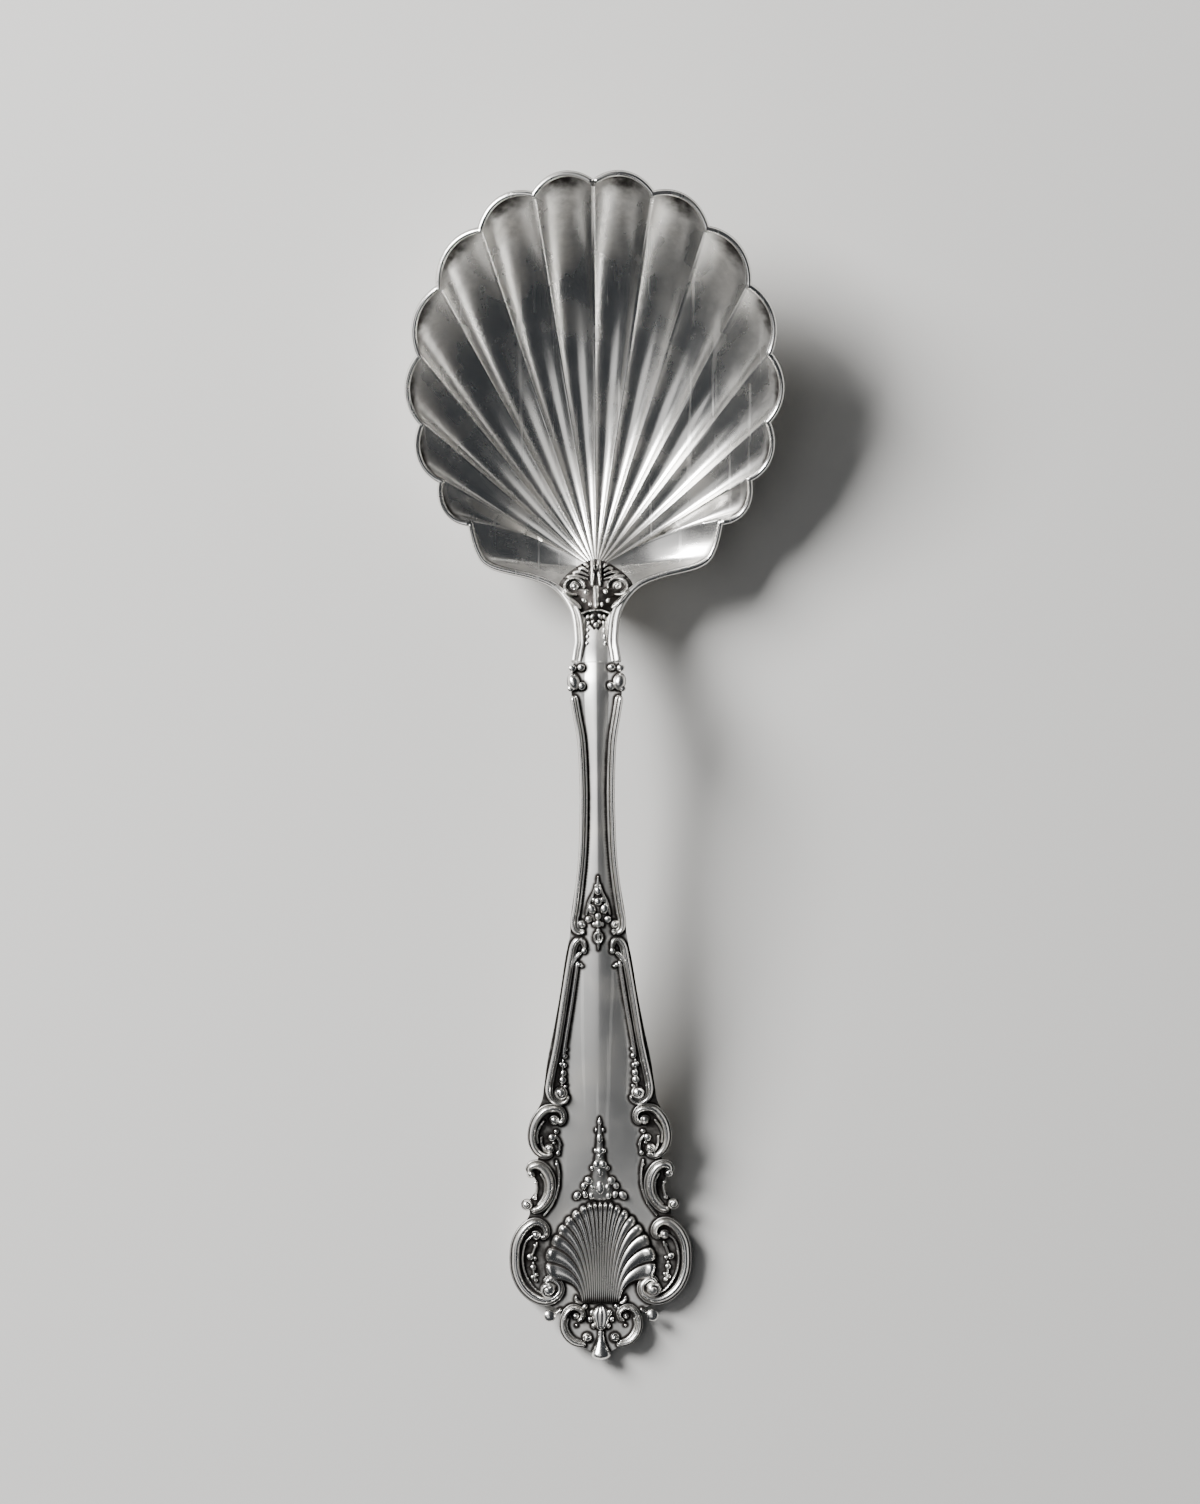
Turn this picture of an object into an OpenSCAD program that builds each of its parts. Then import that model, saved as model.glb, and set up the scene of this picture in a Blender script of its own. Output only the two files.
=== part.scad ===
// Sugar spoon with a fluted shell bowl and a scroll and shell handle.
// +Z is up with the spoon lying on a table, +Y runs toward the bowl's tip.
// The origin is on the table, under the middle of the spoon's length.

/* [Bowl] */
// Width of the bowl across its widest lobes
bowl_w = 48.4; // [44:0.2:52]
// Length of the bowl from its tip back to the shoulder
bowl_l = 53.5; // [48:0.5:58]
// Depth of the hollow below the rim at the middle
bowl_depth = 10.25; // [9:0.05:11]
// Thickness of the bowl's wall
bowl_t = 0.9; // [0.7:0.05:1.2]
// Width of the rim's edge, which the rim thread covers
rim_w = 0.75; // [0.6:0.05:1]
// Height of the rim thread
rim_h = 0.45; // [0.3:0.05:0.7]
// Depth of a flute at its deepest
flute_depth = 1.6; // [0.8:0.1:2]
// Height of the rim above the table at the shoulder
rim_low = 7.4; // [6.5:0.1:8]
// Rise of the rim from the shoulder to the tip
rim_rise = 13.4; // [10:0.2:15]
// Distance from the shoulder to the point where the flutes meet
meet_in = 3.5; // [3:0.25:4.5]

/* [Handle] */
// Length of the handle from the shoulder to the end
handle_l = 98.5; // [90:0.5:110]
// Width of the handle across its largest scrolls
handle_w = 23.2; // [21:0.2:26]
// Height of the top of the handle's arch above the table
arch_h = 13; // [12:0.25:14]
// Thickness of the handle at the neck
handle_t = 2.3; // [2:0.1:2.6]
// Width of a rail along the stem
rail_w = 0.85; // [0.7:0.05:1]
// Height of a rail above the plate
rail_h = 0.6; // [0.4:0.05:0.8]
// Width of the thin thread inside the lower rails
thread_w = 0.5; // [0.4:0.05:0.6]

/* [Scrolls] */
// Width of the large scroll beside the shell
large_w = 7.2; // [6.8:0.1:7.4]
// Length of the large scroll
large_l = 11.5; // [11:0.1:11.9]
// Width of the small scroll above it
small_w = 5.1; // [4.8:0.1:5.3]
// Length of the small scroll
small_l = 7.3; // [7:0.1:7.4]
// Width of the scroll that turns outward
turned_w = 4.6; // [4.3:0.1:4.8]
// Length of the scroll that turns outward
turned_l = 7.2; // [6.8:0.1:7.3]
// Width of the scroll at the end
end_w = 4.3; // [4:0.1:4.5]
// Length of the scroll at the end
end_l = 5.7; // [5.4:0.1:5.8]
// Height of a scroll above the plate
scroll_h = 0.95; // [0.7:0.05:1.2]

/* [Shell and beads] */
// Length of the shell ornament
shell_l = 12.7; // [12:0.1:13]
// Half width of the shell at its widest
shell_half = 7.1; // [6.6:0.1:7.3]
// Height of the shell's dome
shell_h = 1.1; // [0.8:0.05:1.4]
// Number of ribs on the shell
shell_ribs = 19; // [15:2:21]
// Radius of the bead on a stem beside the end scroll
bead_r = 0.8; // [0.7:0.05:0.9]

/* [Hidden] */

// Film of solder between two pieces
solder = 0.05;
tip_y = (bowl_l + handle_l) / 2;
bowl_y = tip_y - bowl_l / 2;
shoulder_y = tip_y - bowl_l;
meet_y = shoulder_y + meet_in;
half_w = handle_w / 2;
// Clear height under the top of the arch
clear_h = arch_h - handle_t;
// The scrolls take the handle's end, and the stem and the panel rails take the rest of its length
scroll_gap = 0.46;
scrolls_l = small_l + turned_l + large_l + end_l + 4 * scroll_gap;
scrolls_share = 0.6595;
end_y = shoulder_y - handle_l;

// Curves through points
function mix(a, b, s) = a + (b - a) * s;
function clamp(s) = min(max(s, 0), 1);
function segment(rows, x, i = 0) =
    (i >= len(rows) - 2 || x < rows[i + 1][0]) ? i : segment(rows, x, i + 1);
function slope(rows, i, c) =
    let (a = max(i - 1, 0), b = min(i + 1, len(rows) - 1))
    (rows[b][c] - rows[a][c]) / (rows[b][0] - rows[a][0]);
// Smooth curve through column c of a table whose first column rises
function smooth(rows, x, c = 1) =
    let (
        i = segment(rows, x),
        h = rows[i + 1][0] - rows[i][0],
        s = (x - rows[i][0]) / h,
        s2 = s * s,
        s3 = s2 * s
    )
    (2 * s3 - 3 * s2 + 1) * rows[i][c] + (s3 - 2 * s2 + s) * h * slope(rows, i, c)
    + (3 * s2 - 2 * s3) * rows[i + 1][c] + (s3 - s2) * h * slope(rows, i + 1, c);
// Smooth curve through points, n steps from each to the next
function spline(pts, n) = [
    for (i = [0 : len(pts) - 2]) for (k = [0 : n - 1])
        let (
            p0 = pts[max(i - 1, 0)],
            p1 = pts[i],
            p2 = pts[i + 1],
            p3 = pts[min(i + 2, len(pts) - 1)],
            s = k / n
        )
        (2 * p1 + (p2 - p0) * s + (2 * p0 - 5 * p1 + 4 * p2 - p3) * s * s
        + (3 * p1 - p0 - 3 * p2 + p3) * s * s * s) / 2,
    pts[len(pts) - 1]];
function unit(v) = v / norm(v);
function last(v) = v[len(v) - 1];

// The plate from the side, by share of the handle's length from the shoulder. It rests on the
// table from 0.9 to its end: [place, share of the clear height under it, share of its thickness]
profile_shares = [
    [0.08, 0.933, 1], [0.115, 1, 1], [0.18, 0.992, 0.98], [0.28, 0.926, 0.95], [0.42, 0.791, 0.9],
    [0.55, 0.579, 0.84], [0.66, 0.365, 0.78], [0.74, 0.21, 0.74], [0.82, 0.075, 0.7],
    [0.87, 0.012, 0.67], [0.9, 0, 0.66], [1, 0, 0.62]];
// Half width of the plate: [place, share of the handle's half width]
outline_shares = [
    [0.086, 0.25], [0.11, 0.275], [0.13, 0.275], [0.16, 0.235], [0.2, 0.195], [0.28, 0.19],
    [0.35, 0.22], [0.42, 0.305], [0.437, 0.31], [0.47, 0.365], [0.515, 0.425], [0.56, 0.495],
    [0.603, 0.57], [0.64, 0.615], [0.657, 0.64], [0.68, 0.735], [0.706, 0.765], [0.725, 0.7],
    [0.735, 0.69], [0.748, 0.77], [0.77, 0.69], [0.79, 0.79], [0.808, 0.79], [0.835, 0.92],
    [0.867, 0.965], [0.9, 0.89], [0.922, 0.7], [0.933, 0.48], [0.953, 0.435], [0.971, 0.37],
    [0.982, 0.21], [0.99, 0.09]];
// Raised panel down the middle: [place, half width share, height share of the neck's thickness]
panel_shares = [
    [0.086, 0.12, 0.2], [0.13, 0.13, 0.24], [0.2, 0.1, 0.24], [0.3, 0.1, 0.24], [0.42, 0.18, 0.25],
    [0.46, 0.2, 0.26], [0.52, 0.25, 0.28], [0.6, 0.32, 0.28], [0.66, 0.38, 0.24],
    [0.72, 0.44, 0.16], [0.78, 0.48, 0.06], [0.84, 0.5, 0.01], [1, 0.5, 0.01]];
function along(y) = y >= end_y + scrolls_l
    ? (shoulder_y - y) / (handle_l - scrolls_l) * scrolls_share
    : 1 - (y - end_y) / scrolls_l * (1 - scrolls_share);
function place(share) = share <= scrolls_share
    ? shoulder_y - share / scrolls_share * (handle_l - scrolls_l)
    : end_y + (1 - share) / (1 - scrolls_share) * scrolls_l;
function plate_t(y) = handle_t * smooth(profile_shares, along(y), 2);
function top_z(y) = clear_h * max(smooth(profile_shares, along(y)), 0) + plate_t(y);
function panel_z(x, y) =
    let (q = abs(x) / (half_w * smooth(panel_shares, along(y))))
    q < 1 ? handle_t * smooth(panel_shares, along(y), 2) * (1 - pow(q, 1.5)) : 0;
// Height of the plate's face at any place
function face_z(x, y) = top_z(y) + panel_z(x, y);

// The bowl's rim, seen from above and from the side
neck_share = 0.086;
neck_y = place(neck_share);
neck_z = top_z(neck_y);
inner_a = bowl_w / 2 - rim_w;
inner_b = bowl_l / 2 - rim_w;
// Angles of the ridges round the bowl, from the tip to the last one
ridge_angles = [0, 19.5, 39.5, 60.8, 81.5, 101.2, 118.9, 134.4];
lobe_steps = 5;
scallop_share = 0.062;
// From the last ridge down the shoulder to the neck, as shares of the bowl's half sizes
shoulder_shares = [
    [0.67, -0.656], [0.631, -0.792], [0.56, -0.865], [0.337, -0.919], [0.205, -0.977],
    [0.112, -1.094], [0.087, -1.237], [0.094, -1.306]];
rim_rows = [
    [-0.159, neck_z], [-0.1, mix(rim_low, neck_z, 0.72)], [-0.04, mix(rim_low, neck_z, 0.4)],
    [0.02, mix(rim_low, neck_z, 0.14)], [0.07, mix(rim_low, neck_z, 0.02)],
    [0.13, rim_low + rim_rise * 0.015], [0.2, rim_low + rim_rise * 0.075],
    [0.41, rim_low + rim_rise * 0.313], [1, rim_low + rim_rise]];
function rim_z(y) = smooth(rim_rows, (y - shoulder_y) / bowl_l);
function arc_f(s) = 4 * s * (1 - s);
lobe_pts = [
    for (k = [0 : len(ridge_angles) - 2]) for (i = [1 : lobe_steps])
        let (
            s = i / lobe_steps,
            turn = mix(ridge_angles[k], ridge_angles[k + 1], s),
            rho = 1 - scallop_share * (1 - arc_f(s))
        )
        [inner_a * rho * sin(turn), bowl_y + inner_b * rho * cos(turn), arc_f(s)]];
neck_corner = [inner_a * 0.102, neck_y];
shoulder_pts = spline([
    for (q = shoulder_shares) [inner_a * q.x, bowl_y + inner_b * q.y],
    neck_corner], 2);
shoulder_n = len(shoulder_pts) - 1;
side_pts = concat(lobe_pts, [
    for (i = [1 : shoulder_n])
        [shoulder_pts[i].x, shoulder_pts[i].y, arc_f(min(i / (shoulder_n - 5), 1))]]);
tip_pt = [0, bowl_y + inner_b * (1 - scallop_share), 0];
neck_pts = [for (s = [0.5, 0, -0.5]) [neck_corner.x * s, neck_y, 0]];
function flip(p) = [-p.x, p.y, p[2]];
side_n = len(side_pts);
rim_pts = concat([tip_pt], side_pts, neck_pts, [for (i = [side_n - 1 : -1 : 0]) flip(side_pts[i])]);
rim_n = len(rim_pts);

// The hollow of the bowl: n rings from the meeting point of the flutes out to the rim
ring_n = 10;
meet_pt = [0, meet_y];
ridge_bend = rim_w * 1.3;
// The hollow is round at the shoulder and flatter bottomed toward the tip
tip_power = 2.7;
// Share of a flute's depth that is left at the rim, which fades out toward the leaf
rim_flute_share = 0.4;
function rim_left(y) = rim_flute_share * clamp((y - meet_y) / meet_in);
function rho_at(x, y) = norm([x / inner_a, (y - bowl_y) / inner_b]);
function hollow(x, y, rho) =
    let (k = (1 + (y - bowl_y) / inner_b / max(rho_at(x, y), 0.01)) / 2)
    1 - pow(min(rho, 1), mix(2, tip_power, k));
function bend_at(y) = ridge_bend * max(0, 1 - pow((y - bowl_y + inner_b * 0.69) / (inner_b * 0.23), 2));
function inner_pt(i, u) =
    let (
        r = rim_pts[i],
        x = r.x * u,
        y = mix(meet_y, r.y, u) + bend_at(r.y) * arc_f(u),
        rho = rho_at(x, y) + (1 - rho_at(r.x, r.y)) * u
    )
    [x, y, rim_z(y) - bowl_depth * hollow(x, y, rho) - flute_depth * r[2] * u * (1 - (1 - rim_left(r.y)) * u * u * u)];
function ring_u(j) = 1 - pow(1 - j / ring_n, 1.5);
function wrap(i) = (i + rim_n) % rim_n;
function at_neck(y) = clamp((meet_y - y) / (meet_y - neck_y));
// Outward step of the rim's edge, which turns downward at the neck's end
function edge_step(i) =
    let (
        t = unit([for (c = [0, 1]) rim_pts[wrap(i + 1)][c] - rim_pts[wrap(i - 1)][c]]),
        n = [-t.y, t.x],
        y = rim_pts[i].y,
        mid = i > side_n && i <= side_n + 3,
        corner = i == side_n || i == side_n + 4
    )
    mid ? [0, 0, -plate_t(y) * (i == side_n + 2 ? 1 : 0.93)]
    : corner ? [rim_w * sign(rim_pts[i].x), 0, -rim_w]
    : [rim_w * n.x, rim_w * n.y, rim_z(y + rim_w * n.y) - rim_z(y) - rim_w * at_neck(y)];
inner_rings = [for (j = [1 : ring_n]) [for (i = [0 : rim_n - 1]) inner_pt(i, ring_u(j))]];
wall_rings = [
    for (j = [0 : ring_n - 1]) [for (i = [0 : rim_n - 1])
        j == ring_n - 1 ? inner_rings[j][i] + edge_step(i) :
        let (
            across = inner_rings[j][wrap(i + 1)] - inner_rings[j][wrap(i - 1)],
            out = inner_rings[j + 1][i] - (j == 0 ? [0, meet_y, inner_pt(0, 0).z] : inner_rings[j - 1][i]),
            tilt = unit(cross(across, out)),
            n = unit(mix(tilt.z > 0 ? tilt : -tilt, [0, 0, 1], min(2 * at_neck(inner_rings[j][i].y), 1))),
            t = mix(bowl_t, plate_t(neck_y), at_neck(inner_rings[j][i].y))
        )
        inner_rings[j][i] - t * n]];

// Solid from rings of points: each ring is joined to the next, and both ends are closed
module loft(rings) {
    n = len(rings[0]);
    m = len(rings);
    polyhedron(
        points = [for (ring = rings) each ring],
        faces = concat(
            [for (j = [0 : m - 2]) for (i = [0 : n - 1]) for (half = [0, 1])
                let (a = j * n + i, b = j * n + (i + 1) % n)
                half == 0 ? [a, b, b + n] : [a, b + n, a + n]],
            [[for (i = [n - 1 : -1 : 0]) i]],
            [[for (i = [0 : n - 1]) (m - 1) * n + i]]));
}

module bowl() {
    // Inner face from the meeting point out, then the rim's edge and the outer face back in
    inner_top = [0, meet_y, inner_pt(0, 0).z];
    outer_top = inner_top - [0, 0, bowl_t * 1.2];
    rings = concat(inner_rings, [for (j = [ring_n - 1 : -1 : 0]) wall_rings[j]]);
    m = len(rings);
    n = rim_n;
    color("silver")
        polyhedron(
            points = concat([inner_top, outer_top], [for (ring = rings) each ring]),
            faces = concat(
                [for (i = [0 : n - 1]) [0, 2 + i, 2 + (i + 1) % n]],
                [for (j = [0 : m - 2]) for (i = [0 : n - 1]) for (half = [0, 1])
                    let (a = 2 + j * n + i, b = 2 + j * n + (i + 1) % n)
                    half == 0 ? [a, a + n, b + n] : [a, b + n, b]],
                [for (i = [0 : n - 1]) [1, 2 + (m - 1) * n + (i + 1) % n, 2 + (m - 1) * n + i]]));
}

// Radius of the circle through three points of a path, or a large one where it runs straight
function turn_radius(a, b, c) =
    let (twice_area = abs((b.x - a.x) * (c.y - a.y) - (b.y - a.y) * (c.x - a.x)))
    norm([b.x - a.x, b.y - a.y]) * norm([c.x - b.x, c.y - b.y]) * norm([c.x - a.x, c.y - a.y])
    / (2 * max(twice_area, pow(solder, 3)));
// Ring of a bar's section: q is [x, y, half width, height] and under the points of its lower side
function bar_ring(q, across, half, n, under) =
    let (offsets = concat(
        [for (k = [0 : n]) cos(180 * k / n)],
        [for (k = [1 : 1 : under]) 2 * k / (under + 1) - 1]))
    [for (k = [0 : n + under])
        let (x = q.x + across.x * half * offsets[k], y = q.y + across.y * half * offsets[k])
        [x, y, solder + (k > 0 && k < n ? face_z(q.x, q.y) + q[3] * sin(180 * k / n) : face_z(x, y))]];
// Round-topped bar lying on the plate along a path, narrowed where the path turns sharply
module bar(path, n = 6, under = 0) {
    m = len(path) - 1;
    loft([
        for (i = [0 : m])
            let (
                a = path[max(i - 1, 0)],
                b = path[min(i + 1, m)],
                t = unit([b.x - a.x, b.y - a.y]),
                j = min(max(i, 1), m - 1),
                half = min(path[i][2], 0.9 * turn_radius(path[j - 1], path[j], path[j + 1]))
            )
            bar_ring(path[i], [t.y, -t.x], half, n, under)]);
}

// Bead of radius r seated on the plate, cut flat a little below its middle
module bead(x, y, r, sunk_share = 0.3) {
    step = solder;
    dx = (face_z(x + step, y) - face_z(x - step, y)) / (2 * step);
    dy = (face_z(x, y + step) - face_z(x, y - step)) / (2 * step);
    up = unit([-dx, -dy, 1]);
    right = unit(cross([0, 1, 0], up));
    ahead = cross(up, right);
    translate([x, y, face_z(x, y) + solder])
        multmatrix([
            [right.x, ahead.x, up.x, 0],
            [right.y, ahead.y, up.y, 0],
            [right.z, ahead.z, up.z, 0]])
            intersection() {
                translate([0, 0, r * sunk_share]) sphere(r, $fn = 40);
                translate([-r, -r, 0] * 2) cube([r, r, r] * 4);
            }
}
module on_side(side) {
    if (side == "left") mirror([1, 0, 0]) children();
    else children();
}

// Rim thread on the rim's edge: half of the way round, from the tip to the neck
module rim_thread(side) {
    inner = concat([inner_rings[ring_n - 1][0]], [for (i = [1 : side_n]) inner_rings[ring_n - 1][i]]);
    outer = concat([wall_rings[ring_n - 1][0]], [for (i = [1 : side_n]) wall_rings[ring_n - 1][i]]);
    n = 4;
    rings = [
        for (i = [0 : side_n])
            let (
                a = inner[i],
                b = outer[i],
                ahead = unit(inner[min(i + 1, side_n)] - inner[max(i - 1, 0)]),
                right = unit(b - a),
                up0 = unit(cross(right, ahead)),
                up = up0.z > 0 ? up0 : -up0,
                half = norm(b - a) * 0.47,
                mid = (a + b) / 2 + up * solder
            )
            [for (k = [0 : n])
                let (p = mid - right * half * cos(180 * k / n) + up * rim_h * sin(180 * k / n))
                i == 0 ? [solder, p.y, p.z] : p]];
    color("gainsboro") on_side(side) loft(rings);
}

// Leaf over the point where the flutes meet: a rib down the middle, a curl on each side and a tail
leaf_l = meet_in * 2.7;
leaf_half = bowl_w * 0.097;
leaf_h = rim_h * 2.2;
leaf_top_y = meet_y + leaf_l * 0.155;
leaf_curl_share = 0.37;
// [share of the leaf's length from its top, share of its half width]
leaf_shares = [
    [0, 0.1], [0.06, 0.4], [0.155, 0.68], [0.26, 0.89], [0.37, 1], [0.51, 0.8], [0.65, 0.54], [0.745, 0.39],
    [0.88, 0.22], [1, 0.07]];
module bowl_leaf() {
    rows = 15;
    sides = [0, 0.12, 0.26, 0.4, 0.55, 0.7, 0.85, 1];
    curl = [leaf_half * 0.62, leaf_top_y - leaf_l * leaf_curl_share];
    curl_r = leaf_half * 0.32;
    function seat_z(x, y) =
        let (rho = rho_at(x, y))
        rim_z(y) - bowl_depth * hollow(x, y, rho + (1 - rho) * at_neck(y) * 0.3) + solder + bowl_t * 0.25;
    function rib(x) = max(0, 1 - pow(x / (leaf_half * 0.2), 2));
    function ball(x, y) = sqrt(max(0, 1 - (pow(x - curl.x, 2) + pow(y - curl.y, 2)) / pow(curl_r, 2)));
    function top_at(x, y, s, rise) =
        let (h = leaf_h * (0.3 * rise * (1 - s * s) + 0.4 * rise * rib(x) + 0.7 * ball(abs(x), y)))
        [x, y, seat_z(x, y) + h];
    color("lightgray")
        loft([
            for (j = [0 : rows])
                let (
                    y = leaf_top_y - leaf_l * j / rows,
                    w = leaf_half * smooth(leaf_shares, j / rows),
                    rise = 0.35 + 0.65 * sin(180 * j / rows)
                )
                concat(
                    [for (s = sides) top_at(w * s, y, s, rise)],
                    [for (s = [0.5, 0, -0.5]) [w * s, y, seat_z(w * s, y)]],
                    [for (k = [len(sides) - 1 : -1 : 1]) top_at(-w * sides[k], y, sides[k], rise)])]);
}

// Handle plate: rings across it from the neck to the end
module handle_plate() {
    steps = 54;
    cols = [0, 0.25, 0.5, 0.75, 1];
    color("silver")
        loft([
            for (i = [0 : steps])
                let (
                    s = mix(neck_share, last(outline_shares)[0], i / steps),
                    y = place(s) - (i == 0 ? solder : 0),
                    w = half_w * smooth(outline_shares, s),
                    c = min(half_w * smooth(panel_shares, s), w * 0.9),
                    z = top_z(y),
                    t = plate_t(y)
                )
                concat(
                    [[-w, y, z]],
                    [for (k = [4 : -1 : 1]) [-c * cols[k], y, face_z(c * cols[k], y)]],
                    [for (k = [0 : 4]) [c * cols[k], y, face_z(c * cols[k], y)]],
                    [[w, y, z], [w, y, z - t * 0.45], [w * 0.85, y, z - t * 0.85], [w * 0.6, y, z - t],
                     [-w * 0.6, y, z - t], [-w * 0.85, y, z - t * 0.85], [-w, y, z - t * 0.45]])]);
}

// Two lobed beads, one behind the other, over the joint of bowl and handle
module neck_knot(side) {
    knot_r = rail_w * 0.62;
    color("gainsboro") on_side(side) {
        bead(half_w * 0.275, place(0.097), knot_r * 0.85);
        bead(half_w * 0.19, place(0.0965), knot_r * 0.75);
        bead(half_w * 0.27, place(0.1135), knot_r * 1.2);
        bead(half_w * 0.18, place(0.1165), knot_r * 0.85);
        bar([for (s = [0, 0.5, 1]) [half_w * 0.235, place(mix(0.0955, 0.1165, s)), knot_r * 0.8, knot_r * 0.7]]);
    }
}

// Points round the middle of a curl: shares of the rail's width across and along, and of its half
function curl(centre, turn_shares, height) = [
    for (q = turn_shares) [centre.x + q.x * rail_w, centre.y + q.y * rail_w, q.z * rail_w / 2, height]];

// Rail along the edge of the stem, with a curl round a ball at its lower end
stem_shares = [
    [0.255, 0.129], [0.222, 0.155], [0.177, 0.19], [0.158, 0.24], [0.158, 0.28], [0.178, 0.34],
    [0.238, 0.4]];
stem_curl_shares = [[1.05, 0.64, 1], [0.91, -0.64, 1], [0.23, -1.2, 1], [-0.45, -0.87, 1]];
stem_ball_share = 0.62;
stem_ball = [half_w * 0.183, place(0.4255)];
module upper_rail(side) {
    stem = [for (q = stem_shares) [q.x * half_w, place(q.y), rail_w / 2, rail_h]];
    color("gainsboro") on_side(side) {
        bar(spline(concat(stem, curl(stem_ball, stem_curl_shares, rail_h)), 3));
        bead(stem_ball.x, stem_ball.y, rail_w * stem_ball_share);
    }
}

// Bellflower drop: beads on a thin leaf
drop_bead_shares = [
    [0, 0.383, 0.49], [0, 0.397, 0.49], [0.085, 0.408, 0.51], [-0.085, 0.408, 0.51],
    [0.118, 0.4195, 0.44], [-0.118, 0.4195, 0.44], [0, 0.416, 0.44], [0, 0.427, 0.44], [0, 0.441, 0.58]];
drop_leaf_shares = [
    [0.362, 0.01], [0.38, 0.04], [0.4, 0.09], [0.415, 0.13], [0.43, 0.08], [0.45, 0.05], [0.458, 0.01]];
// Leaf down the middle of the plate from a table of [place, half width share]
module middle_leaf(leaf_shares, height, n = 6, under = 0) {
    bar([for (q = leaf_shares) [0, place(q[0]), q[1] * half_w, height]], n, under);
}
module bead_drop() {
    color("gainsboro") {
        for (q = drop_bead_shares) bead(q.x * half_w, place(q.y), q.z * rail_w);
        middle_leaf(drop_leaf_shares, rail_h * 0.35, 6, 3);
    }
}

// Rail along the edge of the lower panel: a hook at the top and a curl round a ball at the end
hook_shares = [[-0.07, 0.23, 0.6], [0.14, 1.27, 0.8], [0.82, 1.62, 1]];
panel_rail_shares = [
    [0.268, 0.453], [0.3, 0.47], [0.33, 0.49], [0.385, 0.53], [0.455, 0.58], [0.535, 0.625]];
volute_shares = [
    [1.77, 0.29, 1], [1.29, -0.98, 0.9], [0.2, -1.51, 0.75], [-0.75, -1.1, 0.65], [-1.09, -0.4, 0.55]];
hook_ball_share = 0.42;
volute_ball_share = 0.98;
hook_ball = [half_w * 0.155, stem_ball.y - rail_w * 4];
volute_ball = [half_w * 0.425, place(scrolls_share) + rail_w * 1.5];
module lower_rail(side) {
    height = rail_h * 1.3;
    rail = [for (q = panel_rail_shares) [q.x * half_w, place(q.y), rail_w * 0.55, height]];
    color("gainsboro") on_side(side) {
        bar(spline(concat(curl(hook_ball, hook_shares, height), rail, curl(volute_ball, volute_shares, height)), 3));
        bead(volute_ball.x, volute_ball.y, rail_w * volute_ball_share);
        bead(hook_ball.x, hook_ball.y, rail_w * hook_ball_share);
    }
}

// Thin thread beside the lower panel, ending in a row of beads
thread_shares = [[0.3, 0.528], [0.372, 0.578], [0.4, 0.6], [0.415, 0.628]];
thread_bead_shares = [[0.387, 0.59, 0.62], [0.403, 0.602, 0.7], [0.411, 0.614, 0.76], [0.416, 0.6245, 0.76]];
top_bead_share = 0.9;
module inner_thread(side) {
    start = [half_w * 0.23, hook_ball.y - rail_w * 1.4];
    path = [for (p = concat([start], [for (q = thread_shares) [q.x * half_w, place(q.y)]]))
        [p.x, p.y, thread_w / 2, rail_h * 0.7]];
    color("gainsboro") on_side(side) {
        bar(spline(path, 2));
        bead(start.x, start.y, thread_w * top_bead_share);
        for (q = thread_bead_shares) bead(half_w * q[0], place(q[1]), thread_w * q[2]);
    }
}

// Scroll laid on the plate: a tapered band with a ball in each curl.
// corner is the inner lower corner of its box and size the box's width and length. The band is
// low_share of the height where it is thinnest and swells with its width.
low_share = 0.55;
swell_share = 4.5;
module scroll(corner, size, band_shares, ball_shares, rise) {
    path = [for (q = band_shares)
        [corner.x + q.x * size.x, corner.y + q.y * size.y, q.z * size.x, rise * (low_share + swell_share * q.z)]];
    bar(spline(path, 2));
    for (q = ball_shares) bead(corner.x + q.x * size.x, corner.y + q.y * size.y, q.z * size.x);
}
large_band_shares = [
    [0.45, 0.77, 0.04], [0.36, 0.78, 0.05], [0.33, 0.84, 0.059], [0.38, 0.91, 0.064], [0.5, 0.95, 0.073], [0.63, 0.93, 0.08],
    [0.78, 0.84, 0.084], [0.88, 0.71, 0.086], [0.91, 0.57, 0.086], [0.9, 0.41, 0.086], [0.83, 0.27, 0.086],
    [0.71, 0.16, 0.086], [0.54, 0.08, 0.086], [0.36, 0.05, 0.08], [0.2, 0.08, 0.077], [0.1, 0.15, 0.073],
    [0.1, 0.23, 0.068], [0.19, 0.29, 0.062], [0.3, 0.3, 0.057], [0.38, 0.25, 0.046]];
large_ball_shares = [[0.52, 0.8, 0.075], [0.31, 0.18, 0.107]];
module large_scroll(side) {
    color("gainsboro") on_side(side)
        scroll([half_w * 0.392, place(0.928)], [large_w, large_l], large_band_shares,
            large_ball_shares, scroll_h);
}
small_band_shares = [
    [0.24, 0.64, 0.061], [0.12, 0.68, 0.068], [0.09, 0.79, 0.078], [0.18, 0.89, 0.091], [0.37, 0.92, 0.104],
    [0.57, 0.89, 0.106], [0.75, 0.76, 0.104], [0.86, 0.6, 0.101], [0.9, 0.4, 0.099], [0.85, 0.23, 0.091],
    [0.71, 0.1, 0.084], [0.53, 0.06, 0.073], [0.37, 0.11, 0.061]];
small_ball_shares = [[0.32, 0.71, 0.096], [0.46, 0.2, 0.108]];
module small_scroll(side) {
    color("gainsboro") on_side(side)
        scroll([half_w * 0.359, place(0.7345)], [small_w, small_l], small_band_shares,
            small_ball_shares, scroll_h);
}
turned_band_shares = [
    [0.76, 0.75, 0.072], [0.74, 0.86, 0.106], [0.58, 0.91, 0.128], [0.38, 0.87, 0.136], [0.22, 0.74, 0.139],
    [0.15, 0.58, 0.139], [0.17, 0.39, 0.131], [0.3, 0.22, 0.119], [0.5, 0.1, 0.106], [0.72, 0.08, 0.089]];
turned_ball_shares = [[0.72, 0.74, 0.1], [0.83, 0.18, 0.15]];
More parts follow.
